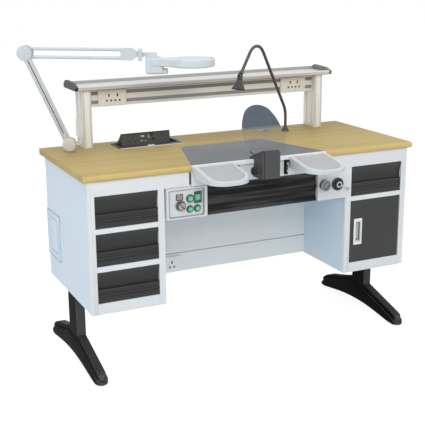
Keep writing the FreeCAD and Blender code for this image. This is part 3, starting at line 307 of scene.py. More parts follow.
plate_steel, tree = new_material("rolled_steel")
grain = use_group(tree, brushed, Metal=(0.165, 0.171, 0.192, 1), Stretch=(4, 300, 300), Rough=0.36, Spread=0.16)
lip_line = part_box("work_plate")[0][1]
# the lip is painted near white and not metallic: a painted highlight
lip_highlight = span(tree, axis_place(tree, "Y"), lip_line + 0.0125, lip_line + 0.0145, 1.0, 0.0)
bright = blend(tree, lip_highlight, grain["Colour"], (0.97, 0.97, 0.98, 1))
mirror = span(tree, lip_highlight, 0.0, 1.0, 0.30, 0.0)
surface(tree, bright, grain["Roughness"], grain["Height"], 0.08, 0.0002, Metallic=mirror,
        Specular_IOR_Level=0.35)
dress(plate_steel, 0.6, "work_plate")


# The pedestals, their face frames, the kneehole's back and the panel housings are folded sheet steel with
# a pale powder coat: a slight orange peel, a little patchy dust and brighter worn edges. Narrow seams
# show where the sheets meet, and the carcasses are closed with pan-head screws.
def edges(tree):
    return shader_node(tree, "ShaderNodeNewGeometry").outputs["Pointiness"]


powder, given = new_group("powder_coat", Paint="Color", Worn="Color", Peel="Float", Rough="Float", Soil="Float")
place = object_place(powder)
peel = noise(powder, given["Peel"], place)
patch = noise(powder, 2.6, place, 4.0, 0.55)
clean = maths(powder, "SUBTRACT", 1.0, maths(powder, "MULTIPLY", patch, given["Soil"]))
soil_and_painted_light = blend(powder, 1.0, given["Paint"], clean, "MULTIPLY")
rub = span(powder, edges(powder), 0.52, 0.60, 0.0, 0.7)
give(powder, blend(powder, rub, soil_and_painted_light, given["Worn"]), peel, given["Rough"], patch, 0.12)


def powder_coated(name, paint, worn, rough=0.38, soil=0.06, bump=0.05):
    return grouped(name, powder, dict(Paint=(*paint, 1), Worn=(*worn, 1), Peel=900.0, Rough=rough, Soil=soil),
                   bump, 0.0003)


def bridge(mesh, low, high):
    # faces between two closed rings of vertices, one of which may be a single point
    for step in range(len(low)):
        following = (step + 1) % len(low)
        corners = list(dict.fromkeys([low[step], low[following], high[following], high[step]]))
        if len(corners) > 2:
            mesh.faces.new(corners)


def block(mesh, x, y, z, turn=None):
    # a box between two limits on each axis, in bench millimetres
    for point in bmesh.ops.create_cube(mesh, size=1)["verts"]:
        point.co = Vector([low + (part + 0.5) * (high - low) for (low, high), part in zip((x, y, z), point.co)])
        if turn:
            point.co = turn @ point.co


def turned(mesh, centre, axis, outline, sides=40):
    # (radius, height) pairs spun about an axis; closed on itself where neither end is on the axis
    axis = Vector(axis).normalized()
    across = axis.orthogonal().normalized()
    over = axis.cross(across)
    spin = [tau * step / sides for step in range(sides)]
    rings = []
    for radius, height in outline:
        hub = Vector(centre) + axis * height
        if radius == 0:
            rings.append([mesh.verts.new(hub)] * sides)
        else:
            rings.append([mesh.verts.new(hub + (across * cos(a) + over * sin(a)) * radius) for a in spin])
    pairs = list(zip(rings, rings[1:]))
    if outline[0][0] > 0:
        pairs.append((rings[-1], rings[0]))
    for low, high in pairs:
        bridge(mesh, low, high)


def new_piece(name, material, body, edge, *shapes, turn=None, segments=2):
    # shapes, each a drawing function and what it takes after the mesh, in bench millimetres, together
    # become one piece with small round edges that rides on a body
    mesh = bmesh.new()
    for draw, *wanted in shapes:
        draw(mesh, *wanted)
    for point in mesh.verts:
        point.co = at(*(turn @ point.co if turn else point.co))
    bmesh.ops.recalc_face_normals(mesh, faces=mesh.faces)
    data = bpy.data.meshes.new(name)
    mesh.to_mesh(data)
    mesh.free()
    data.materials.append(material)
    data.shade_smooth()
    piece = new_object(name, data)
    round_edges(piece, edge, segments)
    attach(piece, body)
    return piece


def pan_head(mesh, centre, axis, radius=3.6, height=1.6):
    # a screw head with a round socket
    pit = height * 0.35
    outline = [(0, pit), (radius * 0.40, pit), (radius * 0.42, height), (radius * 0.72, height),
               (radius, height * 0.45), (radius, 0), (0, 0)]
    turned(mesh, centre, axis, outline, 18)


# the carcasses take the fronts' pale coat painted bluer, as the cool light on the pedestals' sides
cool_lit_carcass_paint = powder_coated("pale_coat_painted_cool_light", (0.635, 0.775, 0.925), (0.84, 0.90, 0.95))
front_paint = powder_coated("front_powder_coat", (0.80, 0.83, 0.86), (0.90, 0.91, 0.92))
back_paint = powder_coated("kneehole_powder_coat", (0.88, 0.94, 0.955), (0.90, 0.93, 0.94))
dress(cool_lit_carcass_paint, 0.8, "left_cabinet", "right_cabinet")
dress(front_paint, 0.8, "front_frame", "service_panels")
dress(back_paint, 0.8, "kneehole_panel")
shadow_gap = powder_coated("seam_shadow", (0.16, 0.18, 0.20), (0.20, 0.22, 0.24), soil=0.2)
new_piece("sheet_seams", powder_coated("soft_seam", (0.50, 0.55, 0.58), (0.55, 0.58, 0.60)), "bench", 0.05,
          *[(block, sorted((side * 672.6, side * 673.4)), (-568.12, -567.9), (-523, -78)) for side in (-1, 1)])
screw_zinc = brushed_metal("zinc_screw", (0.62, 0.63, 0.65), (200, 200, 200), 0.28, 0.15, 0.9, 0.03)
side_screws = [(pan_head, (side * 685, y, z), (side, 0, 0)) for side in (-1, 1) for y in (-520, -290, -60)
               for z in (-60, -500)]
back_screws = [(pan_head, (side * x, -22, z), (0, 1, 0)) for side in (-1, 1) for x in (430, 648)
               for z in (-60, -280, -500)]
new_piece("carcass_screws", screw_zinc, "bench", 0.15, *side_screws, *back_screws)


# A hatch of the same sheet closes the opening in the left pedestal's outer side. It is held by four screws,
# and a dark gap shows around it and around its raised middle.
def rounded(low, high, radius, steps=6):
    # a rectangle with round corners, as pairs
    (x0, z0), (x1, z1) = low, high
    corners = ((x1 - radius, z1 - radius, 0), (x0 + radius, z1 - radius, 90), (x0 + radius, z0 + radius, 180),
               (x1 - radius, z0 + radius, 270))
    turns = [(x, z, radians(start + 90 * step / steps)) for x, z, start in corners
             for step in range(steps + 1)]
    return [(x + radius * cos(angle), z + radius * sin(angle)) for x, z, angle in turns]


def frame_loop(mesh, loop, middle, inset, push):
    # a flat ring between a closed loop and the same loop drawn in towards its middle
    inner = [Vector(point) + (Vector(middle) - Vector(point)).normalized() * inset for point in loop]
    sides = [[mesh.verts.new(Vector(point) + lift * Vector(push)) for point in line]
             for line, lift in ((loop, 0), (loop, 1), (inner, 1), (inner, 0))]
    for step in range(4):
        bridge(mesh, sides[step], sides[(step + 1) % 4])


def in_plane(axis, level, pair):
    # a point whose place on one axis is the level, and on the other two the pair
    return Vector((*pair[:axis], level, *pair[axis:]))


def flat_ring(mesh, axis, level, low, high, radius, inset, push, middle=None):
    # a frame with round corners that lies across an axis
    hub = in_plane(axis, level, middle or ((low[0] + high[0]) / 2, (low[1] + high[1]) / 2))
    loop = [in_plane(axis, level, pair) for pair in rounded(low, high, radius)]
    frame_loop(mesh, loop, hub, inset, in_plane(axis, push, (0, 0)))


ACROSS_X, ACROSS_Y, ACROSS_Z = range(3)
dress(cool_lit_carcass_paint, 0.8, "side_cover")
new_piece("hatch_gaps", shadow_gap, "bench", 0.05,
          (flat_ring, ACROSS_X, -688.1, (-199, -429), (-26, -240), 12, 3.2, -0.25, (-112, -334)),
          (flat_ring, ACROSS_X, -690.0, (-168, -400), (-80, -263), 5, 2.6, -0.15, (-124, -331)))


# The drawer boxes are bent from painted sheet, open at the top, and their fronts screw on. They run on
# zinc-plated steel rails fixed to the pedestals' inner sides.
inner_paint = powder_coated("drawer_box_coat", (0.58, 0.60, 0.62), (0.72, 0.73, 0.74), soil=0.12)
left_rows = ["left_drawer_" + row for row in ("top", "middle", "bottom")]
dress(inner_paint, 0.8, *[drawer + "_box" for drawer in left_rows + ["right_drawer", "centre_drawer"]])
zinc = brushed_metal("zinc_plated_rail", (0.52, 0.53, 0.55), (30, 4, 300), 0.32, 0.2, 0.9, 0.10)
coat(zinc, "drawer_runners")


# The side drawers' fronts and the middle drawer's front are extruded black plastic with a fine drawn grain
# along their length. A finger groove runs behind each lip; dark strips in it and along the flutes are painted
# shade, and the lighter bands along the middle front are painted reflections.
moulded, given = new_group("moulded_plastic", Plastic="Color", Stretch="Vector", Rough="Float", Fade="Float")
place = object_place(moulded)
grit = noise(moulded, 1.0, stretched(moulded, place, given["Stretch"]), 3.0, 0.6)
patch = noise(moulded, 7.0, place, 3.0)
lift = maths(moulded, "MULTIPLY", span(moulded, edges(moulded), 0.51, 0.60, 0.0, 1.0), given["Fade"])
base = blend(moulded, 1.0, given["Plastic"], span(moulded, grit, 0.3, 0.7, 0.90, 1.10), "MULTIPLY")
give(moulded, blend(moulded, lift, base, (0.35, 0.35, 0.36, 1)), grit, given["Rough"], patch, 0.14)


def plastic(name, colour, stretch=(500, 500, 500), rough=0.36, fade=0.25, bump=0.08, **more):
    return grouped(name, moulded, dict(Plastic=(*colour, 1), Stretch=stretch, Rough=rough, Fade=fade), bump,
                   0.0003, **more)


side_drawers = left_rows + ["right_drawer"]
black_front = plastic("extruded_black", (0.026, 0.026, 0.026), (6, 380, 380), rough=0.40, fade=0.10,
                      Specular_IOR_Level=0.35)
dress(black_front, 0.5, *[drawer + "_front" for drawer in side_drawers])
deep_black = plastic("groove_black", (0.008, 0.008, 0.008), rough=0.6, fade=0.0)
# dark strips deep in each lip's groove and along the flutes: painted shade
for drawer in side_drawers:
    low, high = (1000 * (Vector(corner) - REAR_EDGE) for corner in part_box(drawer + "_front"))
    crease = low.z + (high.z - low.z) * 0.45
    inside = (low.x + 0.3, high.x - 0.3)
    steps = [low.z + (crease - low.z) * share for share in (0.42, 0.60)]
    new_piece(drawer + "_front_groove_shade", deep_black, drawer, 0.15,
              (block, inside, (-566.4, -557.2), (crease, crease + 0.5)),
              (block, inside, (-567.6, -566.2), (crease - 0.6, crease + 0.3)),
              *[(block, inside, (-567.2, -566.0), (z, z + 0.8)) for z in steps])
gloss_front, tree = new_material("glossy_black")
# lighter bands stretched along the front: painted reflections
reflection_streak = noise(tree, 1.0, stretched(tree, object_place(tree), (2.2, 60.0, 60.0)), 4.0, 0.55)
tone = ramp(tree, reflection_streak, [(0.36, (0.002, 0.002, 0.002)), (0.50, (0.014, 0.014, 0.014)),
                           (0.62, (0.070, 0.070, 0.071))])
surface(tree, tone, span(tree, reflection_streak, 0.3, 0.7, 0.34, 0.24), reflection_streak, 0.05, 0.0004, Specular_IOR_Level=0.16)
dress(gloss_front, 0.5, "centre_drawer_front")


# The door is a black painted leaf that turns on two pins. Its flush pull is a white moulded frame around a
# grey cup, held by a screw at each end of the cup. Dark strips down the cup's right corner and along its
# foot are painted shade.
TO_FRONT = (0, -1, 0)
door_black = plastic("door_black", (0.046, 0.046, 0.046), (260, 260, 260), rough=0.45, fade=0.04, bump=0.05,
                     Specular_IOR_Level=0.3)
dress(door_black, 0.5, "right_door")
dress(plastic("pull_white", (0.92, 0.92, 0.91), rough=0.28, fade=0.0, bump=0.02), 1.0, "door_pull")
tick_dark = plastic("tick_grey", (0.13, 0.135, 0.14), rough=0.5, fade=0.0)
cup_grey = plastic("cup_grey", (0.64, 0.64, 0.65), rough=0.34, fade=0.0)
new_piece("pull_cup", cup_grey, "door", 0.6,
          (block, (445.2, 468.8), (-556.6, -555.4), (-395.8, -309.2)),
          (block, (466.4, 469.4), (-570.2, -555.6), (-395.4, -309.6)),
          (block, (445.6, 466.2), (-567.0, -555.6), (-396.6, -390)),
          (block, (445.6, 466.2), (-567.0, -555.6), (-314, -308.6)))
# dark strips down the cup's right corner and along its foot: painted shade
new_piece("pull_corner_shade", tick_dark, "door", 0.1,
          (block, (465.6, 466.6), (-566.0, -560.0), (-389.5, -314.5)),
          (block, (450, 464), (-557.2, -556.4), (-389.6, -386.6)))
new_piece("pull_screws", screw_zinc, "door", 0.15,
          *[(pan_head, (456, -556.6, z), TO_FRONT, 2.6, 1.2) for z in (-384.0, -320.0)])


# The two T legs are black painted steel: a square column on a foot whose wide rounded base carries a
# narrower cap. Their upper and front faces are painted paler, as the light that falls on them, and they
# stand on black plastic glides.
leg_paint, tree = new_material("black_leg_paint")
# faces that look to the front and up are painted paler, as lit faces
facing = shader_node(tree, "ShaderNodeVectorMath", {"operation": "DOT_PRODUCT"}, n1=(0.10, -0.95, 0.30),
                     n0=shader_node(tree, "ShaderNodeNewGeometry").outputs["Normal"])
lit_face_share = span(tree, facing.outputs["Value"], 0.22, 0.95, 0.0, 1.0)
tone_by_side = blend(tree, lit_face_share, (0.006, 0.006, 0.006, 1), (0.108, 0.105, 0.103, 1))
layer = use_group(tree, powder, Paint=tone_by_side, Worn=(0.012, 0.012, 0.012, 1), Peel=900.0, Rough=0.50, Soil=0.0)
surface(tree, layer["Colour"], layer["Roughness"], layer["Height"], 0.06, Specular_IOR_Level=0.02)
dress(leg_paint, 0.6, "armrest_brackets")
UP = (0, 0, 1)
FLOOR = -795.0
leg_x = 664.5
sole = 6
crest = ((-597, 27), (-592, 37), (-584, 44), (-560, 53), (-349, 112), (-300, 118), (-257, 122), (-225, 116),
         (-187, 102), (-95, 78), (-70, 73), (-48, 66), (-28, 55), (-12, 43), (5, 32))


def crest_at(y):
    for (y0, h0), (y1, h1) in zip(crest, crest[1:]):
        if y <= y1:
            return h0 + (h1 - h0) * (y - y0) / (y1 - y0)
    return crest[-1][1]


def arch_at(y):
    return sole + (24 * sin(pi * (y + 545) / 500) if -545 < y < -45 else 0)


def base_at(y):
    return max(crest_at(y) - 19, arch_at(y) + 13)


def seat_at(y):
    return max(crest_at(y) - 21, arch_at(y) + 11)


def foot_bar(mesh, x, front, rear, half, low, high):
    # a bar with half-round ends, drawn along the foot between a lower and an upper line
    ends = [(half * (1 - cos(a)), half * sin(a)) for a in map(radians, (6, 18, 32, 46, 60, 75, 90))]
    count = 26
    places = [(front + inward, wide) for inward, wide in ends]
    places += [(front + half + (rear - front - 2 * half) * step / count, half) for step in range(1, count)]
    places += [(rear - inward, wide) for inward, wide in reversed(ends)]
    rings = []
    for y, wide in places:
        bottom, top = FLOOR + low(y), FLOOR + high(y)
        bend = min(3.5, wide * 0.8, (top - bottom) * 0.45)
        section = rounded((x - wide, bottom), (x + wide, top), bend, 3)
        rings.append([mesh.verts.new((across, y, z)) for across, z in section])
    for one, other in zip(rings, rings[1:]):
        bridge(mesh, one, other)
    mesh.faces.new(rings[0])
    mesh.faces.new(rings[-1])


bases = [(foot_bar, side * leg_x, -601, 7, 25, arch_at, base_at) for side in (-1, 1)]
caps = [(foot_bar, side * leg_x, -593, 0, 18.5, seat_at, crest_at) for side in (-1, 1)]
stand = new_piece("leg_feet", leg_paint, "bench", 0.6, *bases, *caps)
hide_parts("legs")
columns = [(block, sorted((side * 645, side * 685)), (-349, -257), (FLOOR + 90, -523.1)) for side in (-1, 1)]
new_piece("leg_columns", leg_paint, "bench", 5.0, *columns, segments=4)
glide = [(0, 0), (15, 0), (17, 1.6), (17, 6.4), (0, 6.4)]
new_piece("leg_glides", deep_black, "bench", 0.3,
          *[(turned, (side * leg_x, y, FLOOR), UP, glide, 36) for side in (-1, 1) for y in (-566, -24)])


# The gantry is built from anodised aluminium extrusions, brushed along their length. Grey strips lie in the
# beam's slots, zinc-plated screws hold the posts, and moulded caps close the shelf: the left one is nearly
# black and the right one is grey.
def slab(mesh, loop, push):
    # a flat outline with a thickness
    low = [mesh.verts.new(point) for point in loop]
    high = [mesh.verts.new(Vector(point) + Vector(push)) for point in loop]
    mesh.faces.new(low)
    mesh.faces.new(high)
    bridge(mesh, low, high)


anodised_up = brushed_metal("anodised_painted_lit_front", (0.95, 0.93, 0.87), (300, 300, 6), 0.40, 0.05, 0.10, 0.02)
anodised = brushed_metal("anodised_rail", (0.86, 0.845, 0.80), (6, 300, 300), 0.40, 0.12, 0.10, 0.05)
shelf_silver = brushed_metal("anodised_shelf", (0.76, 0.76, 0.75), (5, 260, 260), 0.36, 0.14, 0.20, 0.06)
dress(anodised, 0.6, "gantry_frame")
dress(shelf_silver, 0.6, "gantry_shelf", "popup_latch")
cap_grey, tree = new_material("shelf_cap_grey")
faded = span(tree, axis_place(tree, "X"), -0.1, 0.1, 0.0, 1.0)
tone_by_side = blend(tree, faded, (0.014, 0.015, 0.017, 1), (0.19, 0.185, 0.175, 1))
shell = use_group(tree, moulded, Plastic=tone_by_side, Stretch=(500, 500, 500), Rough=0.40, Fade=0.2)
surface(tree, shell["Colour"], shell["Roughness"], shell["Height"], 0.08, Specular_IOR_Level=0.3)
dress(cap_grey, 1.2, "shelf_end_caps")
strip_grey = plastic("slot_strip", (0.34, 0.33, 0.31), (8, 400, 400), rough=0.55, fade=0.0)
beam = (-503.6, 526.6)
slots = (178.5, 214.0)
ribs = [z + rib for z in slots for rib in (-5.4, 0, 5.4)]
new_piece("slot_strips", strip_grey, "bench", 0.2,
          *[(block, beam, (-64.4, -62.4), (z - 6.9, z + 6.9)) for z in slots],
          *[(block, beam, (-65.1, -64.2), (z - 0.7, z + 0.7)) for z in ribs])
posts, post_width, post_height = (-540, 527), 36, (1, 231)
# a paler copy of the anodised finish on the posts' front faces: painted light
new_piece("post_lit_faces", anodised_up, "bench", 0.2,
          *[(block, (x + 7, x + post_width - 7), (-95.4, -94.9), post_height) for x in posts])
# dark lines in the posts' grooves and under the shelf's front edge: painted shade
new_piece("extrusion_groove_shade", shadow_gap, "bench", 0.05,
          (block, (-556, 586), (-107.6, -106.4), (231.4, 233.4)),
          *[(block, (x + inward, x + inward + 1.0), (-95.25, -94.9), post_height) for x in posts
            for inward in (0.6, 6.0, 29.0, 34.4)])
# a darker copy of the shelf's finish on its lip faces: painted shade
painted_lip_shade = brushed_metal("shelf_lip_painted_shade", (0.36, 0.36, 0.355), (5, 260, 260), 0.36, 0.14, 0.20, 0.06)
lips = (((29.7, 243.1), (35.6, 254.0), (36.6, 254.6), (31.0, 243.1)),
        ((-100.6, 243.3), (-104.2, 249.6), (-103.2, 250.2), (-99.4, 243.3)))
new_piece("shelf_lips", painted_lip_shade, "bench", 0.1,
          *[(slab, [in_plane(ACROSS_X, -558, pair) for pair in lip], (1146, 0, 0)) for lip in lips])
post_sides = [(x - 3, -1) for x in posts] + [(x + post_width + 3, 1) for x in posts]
new_piece("post_screws", screw_zinc, "bench", 0.15,
          *[(pan_head, (x, y, 13), (way, 0, 0), 4.0, 1.4) for x, way in post_sides for y in (-13, -58)])


# The double sockets are cream moulded plastic with a raised field around each pair of outlets. Behind the
# slots the shutters are black. The kneehole's single outlet is white in a plate of the panel's colour.
def flat_plate(mesh, axis, level, low, high, radius, push):
    # a plate with round corners that lies across an axis
    loop = [in_plane(axis, level, pair) for pair in rounded(low, high, radius)]
    slab(mesh, loop, in_plane(axis, push, (0, 0)))


def outlet(mesh, x, earth_half, earth, apart, half, others):
    # the slots of a three-pin outlet: the earth pin's in the middle and one at each side
    block(mesh, (x - earth_half, x + earth_half), *earth)
    for side in (-1, 1):
        block(mesh, (x + side * apart - half, x + side * apart + half), *others)


cream = plastic("cream_socket", (0.83, 0.80, 0.72), rough=0.24, fade=0.0, bump=0.02)
dress(cream, 0.6, "power_sockets")
shutter = plastic("socket_shutter", (0.018, 0.017, 0.016), rough=0.5, fade=0.0)
field_line = plastic("socket_rim", (0.60, 0.52, 0.40), rough=0.4, fade=0.0)
white_plate = plastic("white_socket", (0.92, 0.93, 0.95), rough=0.22, fade=0.0, bump=0.02)
doubles = ((-468, -348, (-423, -387)), (366, 489, (413, 449)))
depth, knee_depth = (-76.0, -75.4), (-258.8, -258.2)
new_piece("socket_faces", cream, "bench", 0.3,
          *[(flat_plate, ACROSS_Y, -74.9, (x0 + 5, 164), (x1 - 5, 222), 4, -0.7) for x0, x1, pair in doubles])
new_piece("socket_shutters", shutter, "bench", 0.15,
          *[(outlet, x, 2.9, (depth, (197.5, 210.5)), 8.8, 3.7, (depth, (179.0, 186.5)))
            for x0, x1, pair in doubles for x in pair],
          (outlet, -240, 2.9, (knee_depth, (-481, -467.5)), 9.2, 3.6, (knee_depth, (-498, -491))))
new_piece("socket_fields", field_line, "bench", 0.05,
          *[(flat_ring, ACROSS_Y, -75.6, (pair[0] - 16, 173), (pair[1] + 16, 216), 3, 0.9, -0.15)
            for x0, x1, pair in doubles])
new_piece("kneehole_socket_plate", back_paint, "bench", 0.3,
          (flat_plate, ACROSS_Y, -257.0, (-279.5, -515.5), (-200.5, -450.5), 3, -0.6))
new_piece("kneehole_socket_face", white_plate, "bench", 0.3,
          (flat_plate, ACROSS_Y, -257.55, (-261, -507), (-219, -459.5), 2, -0.8))


# The suction mouth is a folded black sheet box with a moulded cover in front, and its throat is lined with
# dark foam. Its duct and the extractor inside the right pedestal are grey plastic.
duct_grey = plastic("duct_grey", (0.22, 0.225, 0.23), rough=0.45)
coat(duct_grey, "suction_duct")
dress(duct_grey, 1.2, "dust_extractor")
mouth_black = plastic("mouth_black", (0.050, 0.050, 0.051), rough=0.42, fade=0.05, bump=0.10)
dress(mouth_black, 4.0, "suction_mouth")
dress(mouth_black, 0.8, "air_valve_body", "shield_clip")
new_piece("throat_foam", deep_black, "bench", 1.5,
          (block, (-31.2, 31.2), (-601.4, -594.5), (-58, 12)),
          (block, (-31.2, 31.2), (-650.6, -645), (-58, 26)),
          (block, (-31.4, 31.4), (-650, -600), (-61.2, -56)))
rod = [(0, 0), (1.6, 0), (1.6, 24), (2.6, 25), (2.6, 29), (0, 30)]
new_piece("shield_stay", deep_black, "bench", 0.3, (turned, (-34, -600, 16.5), (-21, 0, 17.4), rod, 14))


# The knob that clamps the mouth is black moulded plastic with eight finger lobes. It is moulded round a
# zinc-plated steel stud that screws through the mouth's side.
def lobed(axis, level, middle, radius, swell, lobes, steps):
    # a closed line across an axis whose radius rises and falls
    loop = []
    for step in range(steps):
        angle = tau * step / steps
        away = radius + swell * cos(lobes * angle)
        pair = (middle[0] + away * cos(angle), middle[1] + away * sin(angle))
        loop.append(in_plane(axis, level, pair))
    return loop


mouth_hub, lobe_level = (-630, -34), -62.5
knob = new_piece("clamp_lobes", deep_black, "clamp_knob", 1.2,
                 (slab, lobed(ACROSS_X, lobe_level, mouth_hub, 14.6, 1.5, 8, 96), (17, 0, 0)),
                 (turned, (lobe_level, *mouth_hub), (-1, 0, 0), [(0, 0.9), (7, 0.9), (8.6, 0), (0, -0.5)], 30))
stud = [(0, 0), (8, 0), (8, 4), (4, 5), (4, 9), (0, 9)]
new_piece("clamp_stud", screw_zinc, "clamp_knob", 0.3, (turned, (-46, *mouth_hub), (1, 0, 0), stud, 24))
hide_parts("mouth_clamp_knob")


# The shield is a clear acrylic sheet with polished edges. Its upper part is tinted dense slate, and its
# lower part is almost clear, so the worker sees the plate through it.
smoked, tree = new_material("smoked_acrylic")
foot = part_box("shield")[0][2]
smear = noise(tree, 9.0, detail=3.0)
dense = span(tree, axis_place(tree, "Z"), foot + 0.079, foot + 0.089, 0.10, 0.96)
tint = ramp(tree, smear, [(0.3, (0.080, 0.100, 0.135)), (0.7, (0.095, 0.118, 0.155))])
surface(tree, tint, span(tree, smear, 0.3, 0.7, 0.10, 0.22), IOR=1.49, Alpha=dense)
coat(smoked, "shield")


# The armrests are white moulded wedges hooked on steel brackets. A pad of soft grey polyurethane with a
# fine leather grain is let into each top, and a narrow channel runs between the pad and the shell.
shell_white = plastic("armrest_shell", (0.66, 0.69, 0.715), rough=0.30, fade=0.0, bump=0.02)
dress(shell_white, 2.0, "armrest_shells")
soft_grey, tree = new_material("armrest_foam")
place = object_place(tree)
pores = shader_node(tree, "ShaderNodeTexVoronoi", Vector=place, Scale=700.0).outputs["Distance"]
cloud = noise(tree, 14.0, place, 4.0)
felt = ramp(tree, cloud, [(0.3, (0.475, 0.470, 0.480)), (0.7, (0.515, 0.510, 0.520))])
surface(tree, felt, span(tree, cloud, 0.3, 0.7, 0.50, 0.64), pores, 0.12, 0.0004, Sheen_Weight=0.12)
channel_grey = plastic("pad_channel", (0.40, 0.405, 0.415), rough=0.5, fade=0.0)
slope = radians(9.5)
hooked = 590.5
pad_hub = Vector((200.5, -676, 0))


def pad_outline(x0, x1, y0, y1, inner, outer, rear=5.0, steps=14):
    turns = [(x, y0 + radius, radius, start + 90 * step / steps) for x, radius, start in
             ((x0 + inner, inner, 180), (x1 - outer, outer, 270)) for step in range(steps + 1)]
    turns += [(x, y1 - rear, rear, start + 30 * step) for x, start in ((x1 - rear, 0), (x0 + rear, 90))
              for step in range(4)]
    return [(x + radius * cos(radians(angle)), y + radius * sin(radians(angle)))
            for x, y, radius, angle in turns]


def crowned_pad(mesh):
    # the outline drawn in ring by ring, from the tucked edge up to the crown
    loop = [Vector((x, y, 0)) for x, y in pad_outline(134.9, 266.6, -749.2, -602.9, 56.6, 46.6)]
    rings = [[mesh.verts.new(pad_hub + (point - pad_hub) * share + Vector((0, 0, lift))) for point in loop]
             for share, lift in ((0.80, -5.5), (0.975, -5.5), (0.998, -3.2), (1.0, -0.8), (0.985, 0.7),
                                 (0.95, 1.5), (0.86, 2.0), (0.70, 2.3), (0.45, 2.5), (0.20, 2.6))]
    mesh.faces.new(rings[0])
    rings.append([mesh.verts.new(pad_hub + Vector((0, 0, 2.6)))] * len(loop))
    for low, high in zip(rings, rings[1:]):
        bridge(mesh, low, high)


channel = [(x, y, -0.4) for x, y in pad_outline(133.4, 268.1, -750.7, -601.4, 58, 48)]
for side, name in ((-1, "left"), (1, "right")):
    tilted = (Matrix.Scale(side, 4, (1, 0, 0)) @ Matrix.Translation((0, -hooked, -2.5))
              @ Matrix.Rotation(slope, 4, "X") @ Matrix.Translation((0, hooked, 0)))
    cushion = new_piece(name + "_arm_pad", soft_grey, "bench", 0.3, (crowned_pad,), turn=tilted)
    cushion.modifiers.clear()
    finer = cushion.modifiers.new("soft", "SUBSURF")
    finer.levels = finer.render_levels = 1
    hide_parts("armrest_pads")
    new_piece(name + "_pad_channel", channel_grey, "bench", 0.05,
              (frame_loop, channel, (pad_hub.x, pad_hub.y, -0.4), 1.6, (0, 0, 0.6)), turn=tilted)
    new_piece(name + "_hook_screws", screw_zinc, "bench", 0.2,
              *[(pan_head, (108.5 * side, -596, z), TO_FRONT, 4.5, 2.5) for z in (-28, -56)])


# The control panel is a moulded face with a grey line let in round its field. It carries a small pale
# grey-green display, a speed knob with a ring of ticks, a lit green rocker and three lit green buttons.
def faced(mesh, y, middle, outline, sides):
    # a shape turned about a line that runs to the front from a place (x, z)
    turned(mesh, in_plane(ACROSS_Y, y, middle), TO_FRONT, outline, sides)


def spun_at(middle, degrees):
    return Matrix.Translation(in_plane(ACROSS_Y, 0, middle)) @ Matrix.Rotation(radians(degrees), 4, "Y")


def lit_plastic(name, deep, pale, centre, bright_radius):
    # a lens lit from behind: brightest in its middle
    material, tree = new_material(name)
    place = object_place(tree)
    spot = shader_node(tree, "ShaderNodeVectorMath", {"operation": "DISTANCE"}, n0=place, n1=at(*centre))
    near = span(tree, spot.outputs["Value"], bright_radius * 0.3 / 1000, bright_radius / 1000, 1.0, 0.0)
    lens = blend(tree, near, (*deep, 1), (*pale, 1))
    surface(tree, lens, 0.24, noise(tree, 1200.0, place), 0.05, 0.0002, Emission_Color=lens,
            Emission_Strength=0.10, Coat_Weight=0.3)
    return material


speed, rocker = (-333, -146), (-264, -120.5)
buttons = (((-294, -123), 13.0), ((-295, -163), 11.5), ((-265, -163), 11.5))
line_grey = brushed_metal("panel_line", (0.40, 0.42, 0.46), (60, 60, 60), 0.34, 0.1, 0.2, 0.02)
new_piece("panel_line", line_grey, "bench", 0.15,
          (flat_ring, ACROSS_Y, -574.1, (-378.8, -190.6), (-236.4, -87.4), 7, 5.0, -0.35),
          (flat_ring, ACROSS_Y, -578.05, (-380.4, -192.2), (-234.8, -85.8), 8, 5.2, -0.25))
dark_bezel = plastic("bezel_black", (0.045, 0.055, 0.050), rough=0.35, fade=0.0)
new_piece("panel_bezels", dark_bezel, "bench", 0.3,
          (flat_ring, ACROSS_Y, -575.4, (-350.6, -125.6), (-322.4, -102.4), 1.5, 4.4, -1.3),
          (flat_ring, ACROSS_Y, -577.05, (-278.5, -142.8), (-247.2, -98.4), 2, 3.6, -1.2, (-263, -120.5)),
          *[(faced, -575.9, middle, [(r + 0.4, 0), (r + 0.4, 3.4), (r + 2.2, 2.6), (r + 2.8, 0)], 48)
            for middle, r in buttons])
display, tree = new_material("display_glass")
shown = ramp(tree, noise(tree, 160.0), [(0.35, (0.235, 0.240, 0.190)), (0.65, (0.330, 0.335, 0.270))])
surface(tree, shown, 0.12, Coat_Weight=0.5)
new_piece("display_window", display, "bench", 0.2,
          (flat_plate, ACROSS_Y, -575.45, (-346.4, -121.4), (-326.6, -106.6), 1, -0.6))
new_piece("speed_ticks", tick_dark, "bench", 0.05,
          *[(block, (-0.45, 0.45), (-574.35, -573.9), (21.5, 24.5), spun_at(speed, -140 + 28 * step))
            for step in range(11)],
          (faced, -575.3, speed, [(18.8, 0), (18.8, 0.6), (20.2, 0.6), (20.2, 0)], 56))
knob_skin = plastic("knob_charcoal", (0.085, 0.088, 0.095), rough=0.38, fade=0.15)
ridge_turn = spun_at(speed, -38)
grip_piece = new_piece("speed_grip", knob_skin, "speed_knob", 0.5,
                       (slab, lobed(ACROSS_Y, -577.2, speed, 16.2, 0.55, 24, 144), (0, -13.5, 0)),
                       (faced, -576.3, speed, [(0, 0), (17.9, 0), (17.9, 1.2), (16.4, 3.4), (0, 3.4)], 56),
                       (faced, -590.7, speed, [(0, 0), (14.9, 0), (13.9, 1.3), (0, 1.5)], 56),
                       (block, (-2.6, 2.6), (-596.6, -590), (-13.4, 13.4), ridge_turn))
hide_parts("control_knob")
knob_face = brushed_metal("knob_cap", (0.42, 0.43, 0.45), (160, 160, 160), 0.30, 0.1, 0.6, 0.03)
